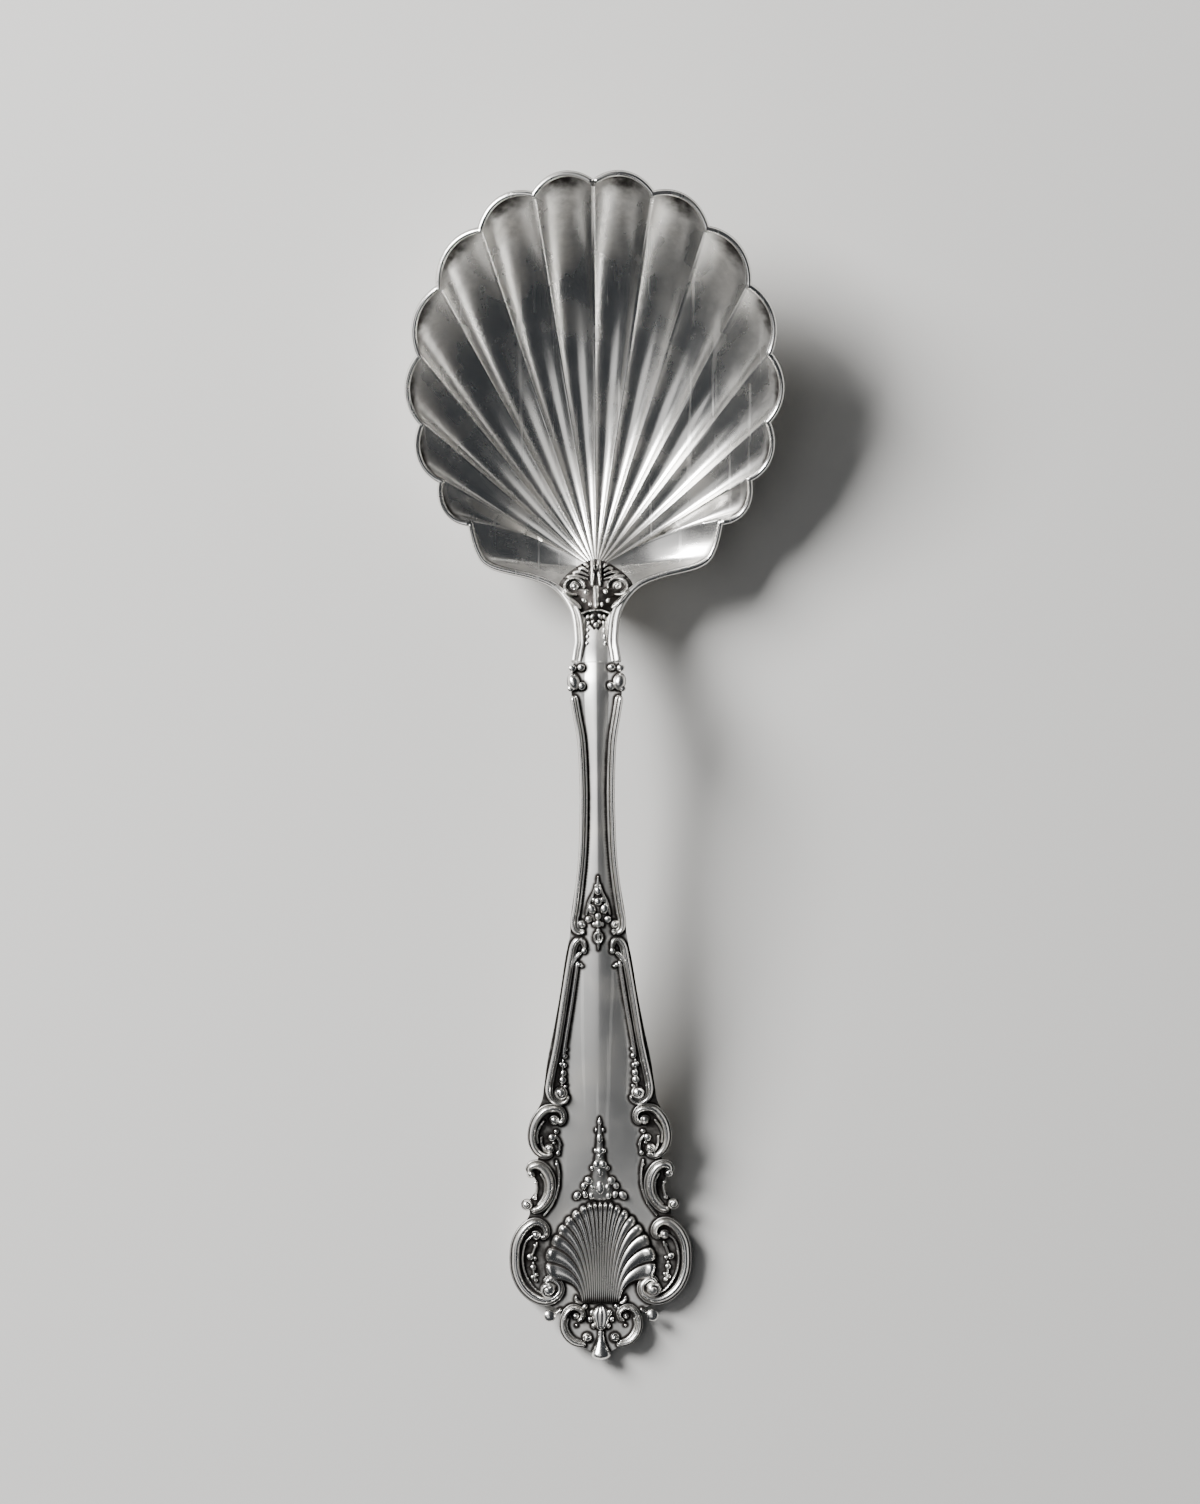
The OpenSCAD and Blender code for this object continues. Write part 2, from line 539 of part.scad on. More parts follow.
module turned_scroll(side) {
    color("gainsboro") on_side(side)
        scroll([half_w * 0.485, place(0.8075)], [turned_w, turned_l], turned_band_shares,
            turned_ball_shares, scroll_h);
}
end_band_shares = [
    [0.46, 0.61, 0.056], [0.33, 0.66, 0.065], [0.29, 0.78, 0.076], [0.39, 0.88, 0.085], [0.58, 0.92, 0.094],
    [0.76, 0.84, 0.1], [0.88, 0.67, 0.1], [0.9, 0.48, 0.1], [0.82, 0.3, 0.097], [0.64, 0.15, 0.094],
    [0.41, 0.08, 0.088], [0.2, 0.09, 0.079]];
end_ball_shares = [[0.51, 0.71, 0.1], [0.16, 0.23, 0.141]];
module end_scroll(side) {
    color("gainsboro") on_side(side)
        scroll([half_w * 0.094, place(0.9835)], [end_w, end_l], end_band_shares,
            end_ball_shares, scroll_h);
}

// Shell: curved ribs that fan out from a narrow base to a lobed edge
shell_base_share = 0.924;
shell_samples = 4;
shell_rows = 6;
module end_shell() {
    base_y = place(shell_base_share);
    base_half = shell_half * 0.34;
    cols = shell_ribs * shell_samples;
    // Edge of the fan: share of the half width and of the length, by side share
    edge_shares = [[0, 0, 1], [0.25, 0.24, 0.985], [0.5, 0.56, 0.86], [0.72, 0.82, 0.66], [0.88, 0.985, 0.43],
        [1, 0.93, 0.22]];
    function lobe(c) = abs(sin(180 * c / shell_samples));
    function fan_pt(c, t) =
        let (
            q = 2 * c / cols - 1,
            s = abs(q),
            end = [shell_half * smooth(edge_shares, s), shell_l * smooth(edge_shares, s, 2)] * (1 + 0.035 * lobe(c)),
            start = [base_half * s, 0],
            bend = [base_half * s * 1.15, mix(end.y, end.y + shell_l * 0.12, s * s) * 0.75],
            p = start * (1 - t) * (1 - t) + bend * 2 * t * (1 - t) + end * t * t
        )
        [sign(q) * p.x, base_y + p.y];
    function rib_z(c, t) =
        let (q = 2 * c / cols - 1)
        shell_h * (0.25 + 0.75 * sin(180 * clamp(0.12 + 0.7 * t))) * (1 - 0.35 * q * q)
        + shell_h * 0.32 * (lobe(c) - 0.6) * (0.35 + 0.65 * t);
    low_rows = shell_rows / 2;
    n = cols + 1;
    top = [for (j = [0 : shell_rows]) for (c = [0 : cols])
        let (p = fan_pt(c, j / shell_rows)) [p.x, p.y, face_z(p.x, p.y) + solder + rib_z(c, j / shell_rows)]];
    low = [for (j = [0 : low_rows]) for (c = [0 : cols])
        let (p = fan_pt(c, j / low_rows)) [p.x, p.y, face_z(p.x, p.y) + solder]];
    k = len(top);
    function grid(start, rows, up) = [
        for (j = [0 : rows - 1]) for (c = [0 : cols - 1])
            let (a = start + j * n + c, q = [a, a + n, a + n + 1, a + 1])
            each up ? [[q[0], q[1], q[2]], [q[0], q[2], q[3]]] : [[q[0], q[2], q[1]], [q[0], q[3], q[2]]]];
    // Front and back walls from one row of points up to another, and a closed side of the fan
    function wall(a, b, step) = [
        for (c = [0 : cols - 1]) each [[a + c, a + c + step, b + c + step], [a + c, b + c + step, b + c]]];
    function side(c, flipped) = [
        for (j = [0 : low_rows - 1])
            let (a = k + j * n + c, b = 2 * j * n + c)
            each [for (f = [[a, b + n, b], [a, a + n, b + n], [a + n, b + 2 * n, b + n]])
                flipped ? [f[0], f[2], f[1]] : f]];
    color("gainsboro")
        polyhedron(
            points = concat(top, low),
            faces = concat(
                grid(0, shell_rows, true),
                grid(k, low_rows, false),
                wall(0, k, 1),
                wall(k + low_rows * n, shell_rows * n, 1),
                side(0, false),
                side(cols, true)));
}

// Buds in a pointed spray above the shell
bud_shares = [
    [0, 0.664, 0.315], [0, 0.69, 0.525], [0, 0.7065, 0.525], [0.055, 0.7225, 0.525], [-0.055, 0.7225, 0.525],
    [0.13, 0.7425, 0.59], [-0.13, 0.7425, 0.59], [0, 0.751, 0.59], [0.22, 0.762, 0.59], [-0.22, 0.762, 0.59]];
spray_shares = [[0.655, 0.008], [0.68, 0.03], [0.71, 0.07], [0.73, 0.13], [0.75, 0.2], [0.763, 0.26]];
module leaf_spray() {
    color("gainsboro") {
        for (q = bud_shares) bead(q.x * half_w, place(q.y), q.z * rail_w);
        middle_leaf(spray_shares, rail_h * 0.5, 6, 3);
    }
}

// Ball on a short stem beside the end scroll
module side_bead(side) {
    ball = [half_w * 0.57, place(0.941)];
    root = [half_w * 0.44, place(0.9305)];
    color("gainsboro") on_side(side) {
        bead(ball.x, ball.y, bead_r);
        bar([for (s = [0, 0.5, 1])
            [mix(root.x, ball.x - bead_r * 0.3, s), mix(root.y, ball.y + bead_r * 0.2, s), rail_w * 0.25, bead_r * 0.55]]);
    }
}

collar_shares = [[0.933, 0.03], [0.938, 0.09], [0.948, 0.11], [0.955, 0.07], [0.96, 0.03]];
module end_collar() {
    color("gainsboro") middle_leaf(collar_shares, scroll_h, 8);
}

// Pear-shaped drop at the end
drop_shares = [
    [0.9615, 0.03], [0.97, 0.05], [0.978, 0.08], [0.985, 0.11], [0.992, 0.1], [0.997, 0.06], [1, 0.02]];
module end_drop() {
    color("gainsboro")
        bar([for (q = drop_shares)
            [0, place(q[0]), q[1] * half_w, scroll_h * mix(0.6, 1, q[1] / drop_shares[3][1])]], 8);
}

bowl();
rim_thread("right");  // rim_thread_right
rim_thread("left");  // rim_thread_left
bowl_leaf();
handle_plate();
neck_knot("right");  // neck_knot_right
neck_knot("left");  // neck_knot_left
upper_rail("right");  // upper_rail_right
upper_rail("left");  // upper_rail_left
bead_drop();
lower_rail("right");  // lower_rail_right
lower_rail("left");  // lower_rail_left
inner_thread("right");  // inner_thread_right
inner_thread("left");  // inner_thread_left
small_scroll("right");  // small_scroll_right
small_scroll("left");  // small_scroll_left
turned_scroll("right");  // turned_scroll_right
turned_scroll("left");  // turned_scroll_left
large_scroll("right");  // large_scroll_right
large_scroll("left");  // large_scroll_left
leaf_spray();
end_shell();
side_bead("right");  // side_bead_right
side_bead("left");  // side_bead_left
end_scroll("right");  // end_scroll_right
end_scroll("left");  // end_scroll_left
end_collar();
end_drop();
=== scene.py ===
"""Looks of the sugar spoon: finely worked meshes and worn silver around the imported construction.

Lengths in the classes below are in millimetres. X runs across the spoon, Y toward the tip of
the bowl and Z up, with the origin on the table under the middle of the spoon.
"""

import logging
import math
from collections.abc import Callable, Sequence
from dataclasses import dataclass, field
from enum import Enum

import bmesh
import bpy
import numpy as np
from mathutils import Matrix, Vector
from mathutils.bvhtree import BVHTree
from mathutils.kdtree import KDTree

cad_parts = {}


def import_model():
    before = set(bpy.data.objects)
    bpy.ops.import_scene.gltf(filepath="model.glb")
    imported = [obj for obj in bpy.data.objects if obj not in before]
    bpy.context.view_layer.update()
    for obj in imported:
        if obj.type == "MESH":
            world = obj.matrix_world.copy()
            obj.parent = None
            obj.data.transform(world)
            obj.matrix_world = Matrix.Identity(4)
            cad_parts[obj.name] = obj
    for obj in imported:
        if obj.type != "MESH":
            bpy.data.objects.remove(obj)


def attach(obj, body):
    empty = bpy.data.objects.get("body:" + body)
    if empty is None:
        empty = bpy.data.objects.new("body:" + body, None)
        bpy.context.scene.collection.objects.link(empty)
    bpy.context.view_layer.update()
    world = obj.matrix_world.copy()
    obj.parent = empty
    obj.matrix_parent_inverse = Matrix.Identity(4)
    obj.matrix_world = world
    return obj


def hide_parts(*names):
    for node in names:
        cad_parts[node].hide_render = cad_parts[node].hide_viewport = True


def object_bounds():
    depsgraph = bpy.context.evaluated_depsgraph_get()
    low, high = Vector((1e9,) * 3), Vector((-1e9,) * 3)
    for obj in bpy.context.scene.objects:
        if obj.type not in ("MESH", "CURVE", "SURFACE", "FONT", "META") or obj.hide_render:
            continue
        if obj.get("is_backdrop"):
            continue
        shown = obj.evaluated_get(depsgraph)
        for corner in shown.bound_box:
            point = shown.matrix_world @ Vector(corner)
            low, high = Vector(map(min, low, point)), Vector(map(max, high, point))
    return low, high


LOG = logging.getLogger("sugar_spoon")
MM = 0.001
# Scale and axis of the photograph that the ornament was traced from
TRACE_MM = 0.128
TRACE_AXIS_X = 595.5
TRACE_ZERO_Y = 763.5

Rows = Sequence[Sequence[float]]
Seat = Callable[[np.ndarray, np.ndarray], np.ndarray]


# Curves


def mix(a: float, b: float, s: float) -> float:
    """Value part of the way from a to b, where s runs from 0 to 1."""
    return a + (b - a) * s


def smooth(rows: Rows, x: np.ndarray, col: int = 1) -> np.ndarray:
    """Smooth curve through one column of a table whose first column rises.

    Args:
        rows: the table.
        x: where to read the curve.
        col: the column to follow.

    Returns:
        The curve's values.
    """
    table = np.asarray(rows, float)
    x = np.asarray(x, float)
    key, val = table[:, 0], table[:, col]
    slope = np.empty_like(val)
    slope[1:-1] = (val[2:] - val[:-2]) / (key[2:] - key[:-2])
    slope[0] = (val[1] - val[0]) / (key[1] - key[0])
    slope[-1] = (val[-1] - val[-2]) / (key[-1] - key[-2])
    i = np.clip(np.searchsorted(key, x, side="right") - 1, 0, len(key) - 2)
    h = key[i + 1] - key[i]
    s = (x - key[i]) / h
    s2, s3 = s * s, s * s * s
    start = (2 * s3 - 3 * s2 + 1) * val[i] + (s3 - 2 * s2 + s) * h * slope[i]
    return start + (3 * s2 - 2 * s3) * val[i + 1] + (s3 - s2) * h * slope[i + 1]


def spline(points: Rows, steps: int) -> np.ndarray:
    """Smooth curve through points.

    Args:
        points: the points, one per row.
        steps: samples from each point to the next.

    Returns:
        The samples, one per row.
    """
    pts = np.asarray(points, float)
    out = []
    for i in range(len(pts) - 1):
        p0, p1 = pts[max(i - 1, 0)], pts[i]
        p2, p3 = pts[i + 1], pts[min(i + 2, len(pts) - 1)]
        s = (np.arange(steps) / steps)[:, None]
        bend = (2 * p0 - 5 * p1 + 4 * p2 - p3) * s**2 + (3 * p1 - p0 - 3 * p2 + p3) * s**3
        out.append((2 * p1 + (p2 - p0) * s + bend) / 2)
    out.append(pts[-1:])
    return np.vstack(out)


def arc(s: np.ndarray) -> np.ndarray:
    """Arch that is 0 where s is 0 or 1, and 1 halfway."""
    return 4 * s * (1 - s)


def ramp(x: np.ndarray, low: float, high: float) -> np.ndarray:
    """Soft step of x from 0 at low to 1 at high."""
    s = np.clip((np.asarray(x, float) - low) / (high - low), 0, 1)
    return s * s * (3 - 2 * s)


def unit(v: np.ndarray) -> np.ndarray:
    """The same directions with length 1, for vectors in the last axis."""
    return v / np.maximum(np.linalg.norm(v, axis=-1, keepdims=True), 1e-9)


def traced(points: Rows) -> list[list[float]]:
    """Points traced on the left of the photograph, carried to the right half in millimetres.

    Args:
        points: rows of photograph x, y and perhaps a radius, then any other values.

    Returns:
        The rows in millimetres, with the other values as they were.
    """
    out = []
    for x, y, *rest in points:
        place = [(TRACE_AXIS_X - x) * TRACE_MM, (TRACE_ZERO_Y - y) * TRACE_MM]
        out.append([*place, *[r * TRACE_MM for r in rest[:1]], *rest[1:]])
    return out


def on_side(rows: Rows, side: int, *more: float) -> list[tuple[float, ...]]:
    """Rows carried to one side of the spoon, 1 or -1, with more values added to each."""
    return [(x * side, *rest, *more) for x, *rest in rows]


# Shape of the spoon, with the same sizes as the construction


@dataclass(frozen=True)
class HandleShape:
    """The handle's plate, seen from the side and from above."""

    length: float = 98.5
    half_w: float = 11.6
    arch_h: float = 13.0
    neck_t: float = 2.3
    shoulder_y: float = 22.5
    profile_shares: Rows = (
        (0.08, 0.933, 1), (0.115, 1, 1), (0.18, 0.992, 0.98), (0.28, 0.926, 0.95), (0.42, 0.791, 0.9),
        (0.55, 0.579, 0.84), (0.66, 0.365, 0.78), (0.74, 0.21, 0.74), (0.82, 0.075, 0.7),
        (0.87, 0.012, 0.67), (0.9, 0, 0.66), (1, 0, 0.62),
    )
    outline_shares: Rows = (
        (0.086, 0.25), (0.11, 0.275), (0.13, 0.275), (0.16, 0.235), (0.2, 0.195), (0.28, 0.19),
        (0.35, 0.22), (0.42, 0.305), (0.437, 0.31), (0.47, 0.365), (0.515, 0.425), (0.56, 0.495),
        (0.603, 0.57), (0.64, 0.615), (0.657, 0.64), (0.68, 0.735), (0.706, 0.765), (0.725, 0.7),
        (0.735, 0.69), (0.748, 0.77), (0.77, 0.69), (0.79, 0.79), (0.808, 0.79), (0.835, 0.92),
        (0.867, 0.965), (0.9, 0.89), (0.922, 0.7), (0.933, 0.48), (0.953, 0.435), (0.971, 0.37),
        (0.982, 0.21), (0.99, 0.09),
    )
    panel_shares: Rows = (
        (0.086, 0.12, 0.2), (0.13, 0.13, 0.24), (0.2, 0.1, 0.24), (0.3, 0.1, 0.24), (0.42, 0.18, 0.25),
        (0.46, 0.2, 0.26), (0.52, 0.25, 0.28), (0.6, 0.32, 0.28), (0.66, 0.38, 0.24),
        (0.72, 0.44, 0.16), (0.78, 0.48, 0.06), (0.84, 0.5, 0.01), (1, 0.5, 0.01),
    )

    def along(self, y: np.ndarray) -> np.ndarray:
        """Share of the handle's length from the shoulder to y."""
        return (self.shoulder_y - np.asarray(y, float)) / self.length

    def place(self, share: float) -> float:
        """Place along the spoon of a share of the handle's length."""
        return self.shoulder_y - share * self.length

    def spot(self, across: float, along: float) -> tuple[float, float]:
        """Place on the plate from shares of its half width and of its length."""
        return across * self.half_w, self.place(along)

    def thickness(self, y: np.ndarray) -> np.ndarray:
        """Thickness of the plate at y."""
        return self.neck_t * smooth(self.profile_shares, self.along(y), 2)

    def top(self, y: np.ndarray) -> np.ndarray:
        """Height of the plate's upper face beside its panel at y."""
        clear = (self.arch_h - self.neck_t) * np.maximum(smooth(self.profile_shares, self.along(y)), 0)
        return clear + self.thickness(y)

    def width(self, y: np.ndarray) -> np.ndarray:
        """Half width of the plate at y."""
        return self.half_w * smooth(self.outline_shares, self.along(y))

    def panel(self, x: np.ndarray, y: np.ndarray) -> np.ndarray:
        """Rise of the roof-shaped panel down the middle.

        Args:
            x: place across.
            y: place along.

        Returns:
            The rise above the plate.
        """
        share = self.along(y)
        q = np.abs(x) / (self.half_w * smooth(self.panel_shares, share))
        rise = self.neck_t * smooth(self.panel_shares, share, 2)
        return rise * np.clip(1 - np.clip(q, 0, 1) ** 1.5, 0, 1)

    def face(self, x: np.ndarray, y: np.ndarray) -> np.ndarray:
        """Height of the plate's face at x and y, with its panel."""
        return self.top(y) + self.panel(x, y)


@dataclass(frozen=True)
class BowlShape:
    """The fluted bowl: its scalloped rim from above and from the side, and its hollow."""

    handle: HandleShape
    width: float = 48.4
    length: float = 53.5
    depth: float = 10.25
    wall: float = 0.9
    rim_w: float = 0.75
    flute_depth: float = 1.6
    rim_flute_share: float = 0.4
    meet_in: float = 3.5
    tip_power: float = 2.7
    rim_low: float = 7.4
    neck_ease: float = 0.6
    rim_rise: float = 13.4
    tip_y: float = 76.0
    meet_y: float = 26.0
    neck_share: float = 0.086
    scallop_share: float = 0.062
    ridge_angles: Sequence[float] = (0, 19.5, 39.5, 60.8, 81.5, 101.2, 118.9, 134.4)
    shoulder_shares: Rows = (
        (0.67, -0.656), (0.631, -0.792), (0.56, -0.865), (0.337, -0.919), (0.205, -0.977),
        (0.112, -1.094), (0.087, -1.237), (0.094, -1.306),
    )
    flute_end_share: float = 0.6875
    neck_half_share: float = 0.102
    straight_share: float = 0.88
    waist_bend: float = 1.3
    waist_share: float = 0.69
    waist_reach: float = 0.23

    @property
    def middle_y(self) -> float:
        """Middle of the bowl along the spoon."""
        return self.tip_y - self.length / 2

    @property
    def half_a(self) -> float:
        """Half width inside the rim."""
        return self.width / 2 - self.rim_w

    @property
    def half_b(self) -> float:
        """Half length inside the rim."""
        return self.length / 2 - self.rim_w

    @property
    def neck_y(self) -> float:
        """Place where the bowl's piece ends on the neck."""
        return self.handle.place(self.neck_share)

    def rim_height(self, y: np.ndarray) -> np.ndarray:
        """Height of the rim above the table.

        Args:
            y: place along the spoon.

        Returns:
            The height.
        """
        neck_z = float(self.handle.top(self.neck_y))
        low, rise = self.rim_low, self.rim_rise
        rows = [
            (-0.159, neck_z), (-0.1, mix(low, neck_z, 0.72)), (-0.04, mix(low, neck_z, 0.4)),
            (0.02, mix(low, neck_z, 0.14)), (0.07, mix(low, neck_z, 0.02)), (0.13, low + rise * 0.015),
            (0.2, low + rise * 0.075), (0.41, low + rise * 0.313), (1, low + rise),
        ]
        share = (np.asarray(y, float) - self.handle.shoulder_y) / self.length
        s = np.clip((share - rows[0][0]) / (rows[1][0] - rows[0][0]), 0, 1)
        return smooth(rows, share) + self.neck_ease * s * (1 - s) ** 2

    def outline(self, lobe_steps: int, shoulder_steps: int, neck_steps: int) -> np.ndarray:
        """Closed line inside the rim with the depth share of the flute at each place.

        Args:
            lobe_steps: samples along each lobe.
            shoulder_steps: samples between shoulder points.
            neck_steps: samples across the neck's end.

        Returns:
            Rows of x, y and flute share at the rim, then the same three that the inner face follows.
        """
        rows = [(0.0, self.middle_y + self.half_b * (1 - self.scallop_share), 0.0)]
        for a, b in zip(self.ridge_angles[:-1], self.ridge_angles[1:]):
            for i in range(1, lobe_steps + 1):
                s = i / lobe_steps
                turn = math.radians(mix(a, b, s))
                rho = 1 - self.scallop_share * (1 - arc(s))
                x = self.half_a * rho * math.sin(turn)
                y = self.middle_y + self.half_b * rho * math.cos(turn)
                rows.append((x, y, arc(s)))
        corner = (self.half_a * self.neck_half_share, self.neck_y)
        shares = [(self.half_a * q[0], self.middle_y + self.half_b * q[1]) for q in self.shoulder_shares]
        shoulder = spline([*shares, corner], shoulder_steps)
        ridge_turn = math.atan2(rows[-1][1] - self.meet_y, rows[-1][0])
        turns = np.arctan2(shoulder[:, 1] - self.meet_y, shoulder[:, 0])
        first = int(np.argmax(turns < ridge_turn))
        last = self.flute_end_share * (len(shoulder) - 1)
        for i in range(1, len(shoulder)):
            s = min(max(i - first, 0) / (last - first), 1)
            rows.append((shoulder[i][0], shoulder[i][1], arc(s)))
        side = np.asarray(rows)
        side = np.hstack([side, self.fan(side, lobe_steps)])
        across = np.linspace(corner[0], -corner[0], neck_steps + 1)[1:-1]
        neck = np.stack([across, np.full_like(across, self.neck_y), np.zeros_like(across)], axis=1)
        return np.vstack([side, np.hstack([neck, neck]), side[:0:-1] * (-1, 1, 1, -1, 1, 1)])

    def rho(self, x: np.ndarray, y: np.ndarray) -> np.ndarray:
        """Distance of x and y from the bowl's middle as a share of its half sizes."""
        return np.hypot(x / self.half_a, (y - self.middle_y) / self.half_b)

    def hollow(self, x: np.ndarray, y: np.ndarray, rho: np.ndarray) -> np.ndarray:
        """Share of the hollow's depth at x and y, where rho is the distance from the middle."""
        k = (1 + (y - self.middle_y) / self.half_b / np.maximum(self.rho(x, y), 0.01)) / 2
        return 1 - np.minimum(rho, 1) ** mix(2, self.tip_power, k)

    def rim_left(self, y: np.ndarray) -> np.ndarray:
        """Share of a flute's depth left at the rim at y, which fades out toward the leaf."""
        return self.rim_flute_share * np.clip((y - self.meet_y) / self.meet_in, 0, 1)

    def near_neck(self, y: np.ndarray) -> np.ndarray:
        """How far y is down the neck: 0 in the bowl and 1 at the neck's end."""
        return np.clip((self.meet_y - y) / (self.meet_y - self.neck_y), 0, 1)

    def fan(self, side: np.ndarray, lobe_steps: int) -> np.ndarray:
        """Outline in which no line to the flutes' meeting point crosses the line of a ridge.

        Args:
            side: rows of the right side's outline.
            lobe_steps: samples along each lobe.

        Returns:
            The rows, with a ridge's row in place of each one that lies beyond that ridge.
        """
        fan = side.copy()
        turn = np.arctan2(side[:, 1] - self.meet_y, side[:, 0])
        ridges = [k * lobe_steps for k in range(len(self.ridge_angles))]
        for start, stop in zip(ridges, [*ridges[1:], len(side) - 1]):
            cols = np.arange(start, stop + 1)
            fan[cols[turn[cols] > turn[start]]] = side[start]
            if stop in ridges:
                fan[cols[turn[cols] < turn[stop]]] = side[stop]
        return fan

    def inner(self, rim: np.ndarray, u: np.ndarray, flute: float) -> np.ndarray:
        """Points of the inner face on lines from the flutes' meeting point to the rim.

        Args:
            rim: rows of the outline.
            u: share of the way to the rim, one per ring.
            flute: depth of the flutes.

        Returns:
            Points by ring and by outline row.
        """
        u = u[:, None]
        end = mix(rim[:, 3:], rim[:, :3], ramp(u, self.straight_share, 1.0)[..., None])
        end_x, end_y, share = end[..., 0], end[..., 1], end[..., 2]
        from_waist = end_y - self.middle_y + self.half_b * self.waist_share
        bend = self.waist_bend * self.rim_w
        bend = bend * np.maximum(0, 1 - (from_waist / (self.half_b * self.waist_reach)) ** 2)
        x = end_x * u
        y = mix(self.meet_y, end_y, u) + bend * arc(u)
        rho = self.rho(x, y) + (1 - self.rho(end_x, end_y)) * u
        cut = flute * share * u * (1 - (1 - self.rim_left(end_y)) * u**3)
        z = self.rim_height(y) - self.depth * self.hollow(x, y, rho) - cut
        return np.stack([x, y, z], axis=-1)

    def edge(self, rim: np.ndarray) -> np.ndarray:
        """Outer edge of the rim.

        Args:
            rim: rows of the outline.

        Returns:
            One point per outline row.
        """
        t = unit(np.roll(rim[:, :2], -1, axis=0) - np.roll(rim[:, :2], 1, axis=0))
        n = np.stack([-t[:, 1], t[:, 0]], axis=1)
        at_end = np.abs(rim[:, 1] - self.neck_y) < 1e-6
        corner = np.abs(rim[at_end, :1]) > self.half_a * (self.neck_half_share - 0.002)
        n[at_end] = np.where(corner, np.sign(rim[at_end, :1]), 0) * (1, 0)
        xy = rim[:, :2] + self.rim_w * n
        neck_end = at_end & (np.abs(n[:, 0]) < 0.5)
        z = self.rim_height(xy[:, 1]) - self.rim_w * self.near_neck(rim[:, 1]) * ~neck_end
        return np.column_stack([xy, z - self.flute_depth * self.rim_left(rim[:, 1]) * rim[:, 2]])


# Finishes


Colour = tuple[float, float, float]
Socket = bpy.types.NodeSocket


class Slot(Enum):
    """Material slots of the record."""

    BOWL = "bowl_silver"
    PLATE = "plate_silver"
    ORNAMENT = "ornament_silver"


class MaterialNodes:
    """Nodes of one material, with short calls that add and link them."""

    def __init__(self, mat: bpy.types.Material) -> None:
        """Starts the material without nodes.

        Args:
            mat: the material.
        """
        mat.use_nodes = True
        self.tree = mat.node_tree
        self.tree.nodes.clear()

    def add(
        self, kind: str, inputs: dict[str | int, object] | None = None, **settings: object
    ) -> bpy.types.Node:
        """Adds a node.

        Args:
            kind: its type, without the first word that all types share.
            inputs: a socket or a plain value for each input, by name or number.
            settings: its other settings by name.

        Returns:
            The node.
        """
        node = self.tree.nodes.new("ShaderNode" + kind)
        for key, value in settings.items():
            setattr(node, key, value)
        for key, value in (inputs or {}).items():
            if isinstance(value, Socket):
                self.tree.links.new(value, node.inputs[key])
            else:
                node.inputs[key].default_value = value
        return node

    def noise(self, place: Socket, scale: float, detail: float) -> Socket:
        """Noise over a place, finer with a larger scale and richer with more detail."""
        return self.add("TexNoise", {"Vector": place, "Scale": scale, "Detail": detail}).outputs["Fac"]

    def math(self, operation: str, *values: Socket | float) -> Socket:
        """Sum, product or other operation on sockets and numbers."""
        return self.add("Math", dict(enumerate(values)), operation=operation).outputs[0]

    def soft_map(self, value: Socket, a: float, b: float, low: float, high: float) -> Socket:
        """Value carried softly from the range a to b into the range low to high."""
        inputs = {"From Min": a, "From Max": b, "To Min": low, "To Max": high, "Value": value}
        return self.add("MapRange", inputs, interpolation_type="SMOOTHSTEP").outputs["Result"]

    def blend(self, share: Socket, a: Socket | Colour, b: Colour) -> Socket:
        """Mix of two colours, with a share of the second."""
        first = (*a, 1.0) if isinstance(a, tuple) else a
        return self.add("Mix", {0: share, 6: first, 7: (*b, 1.0)}, data_type="RGBA").outputs[2]


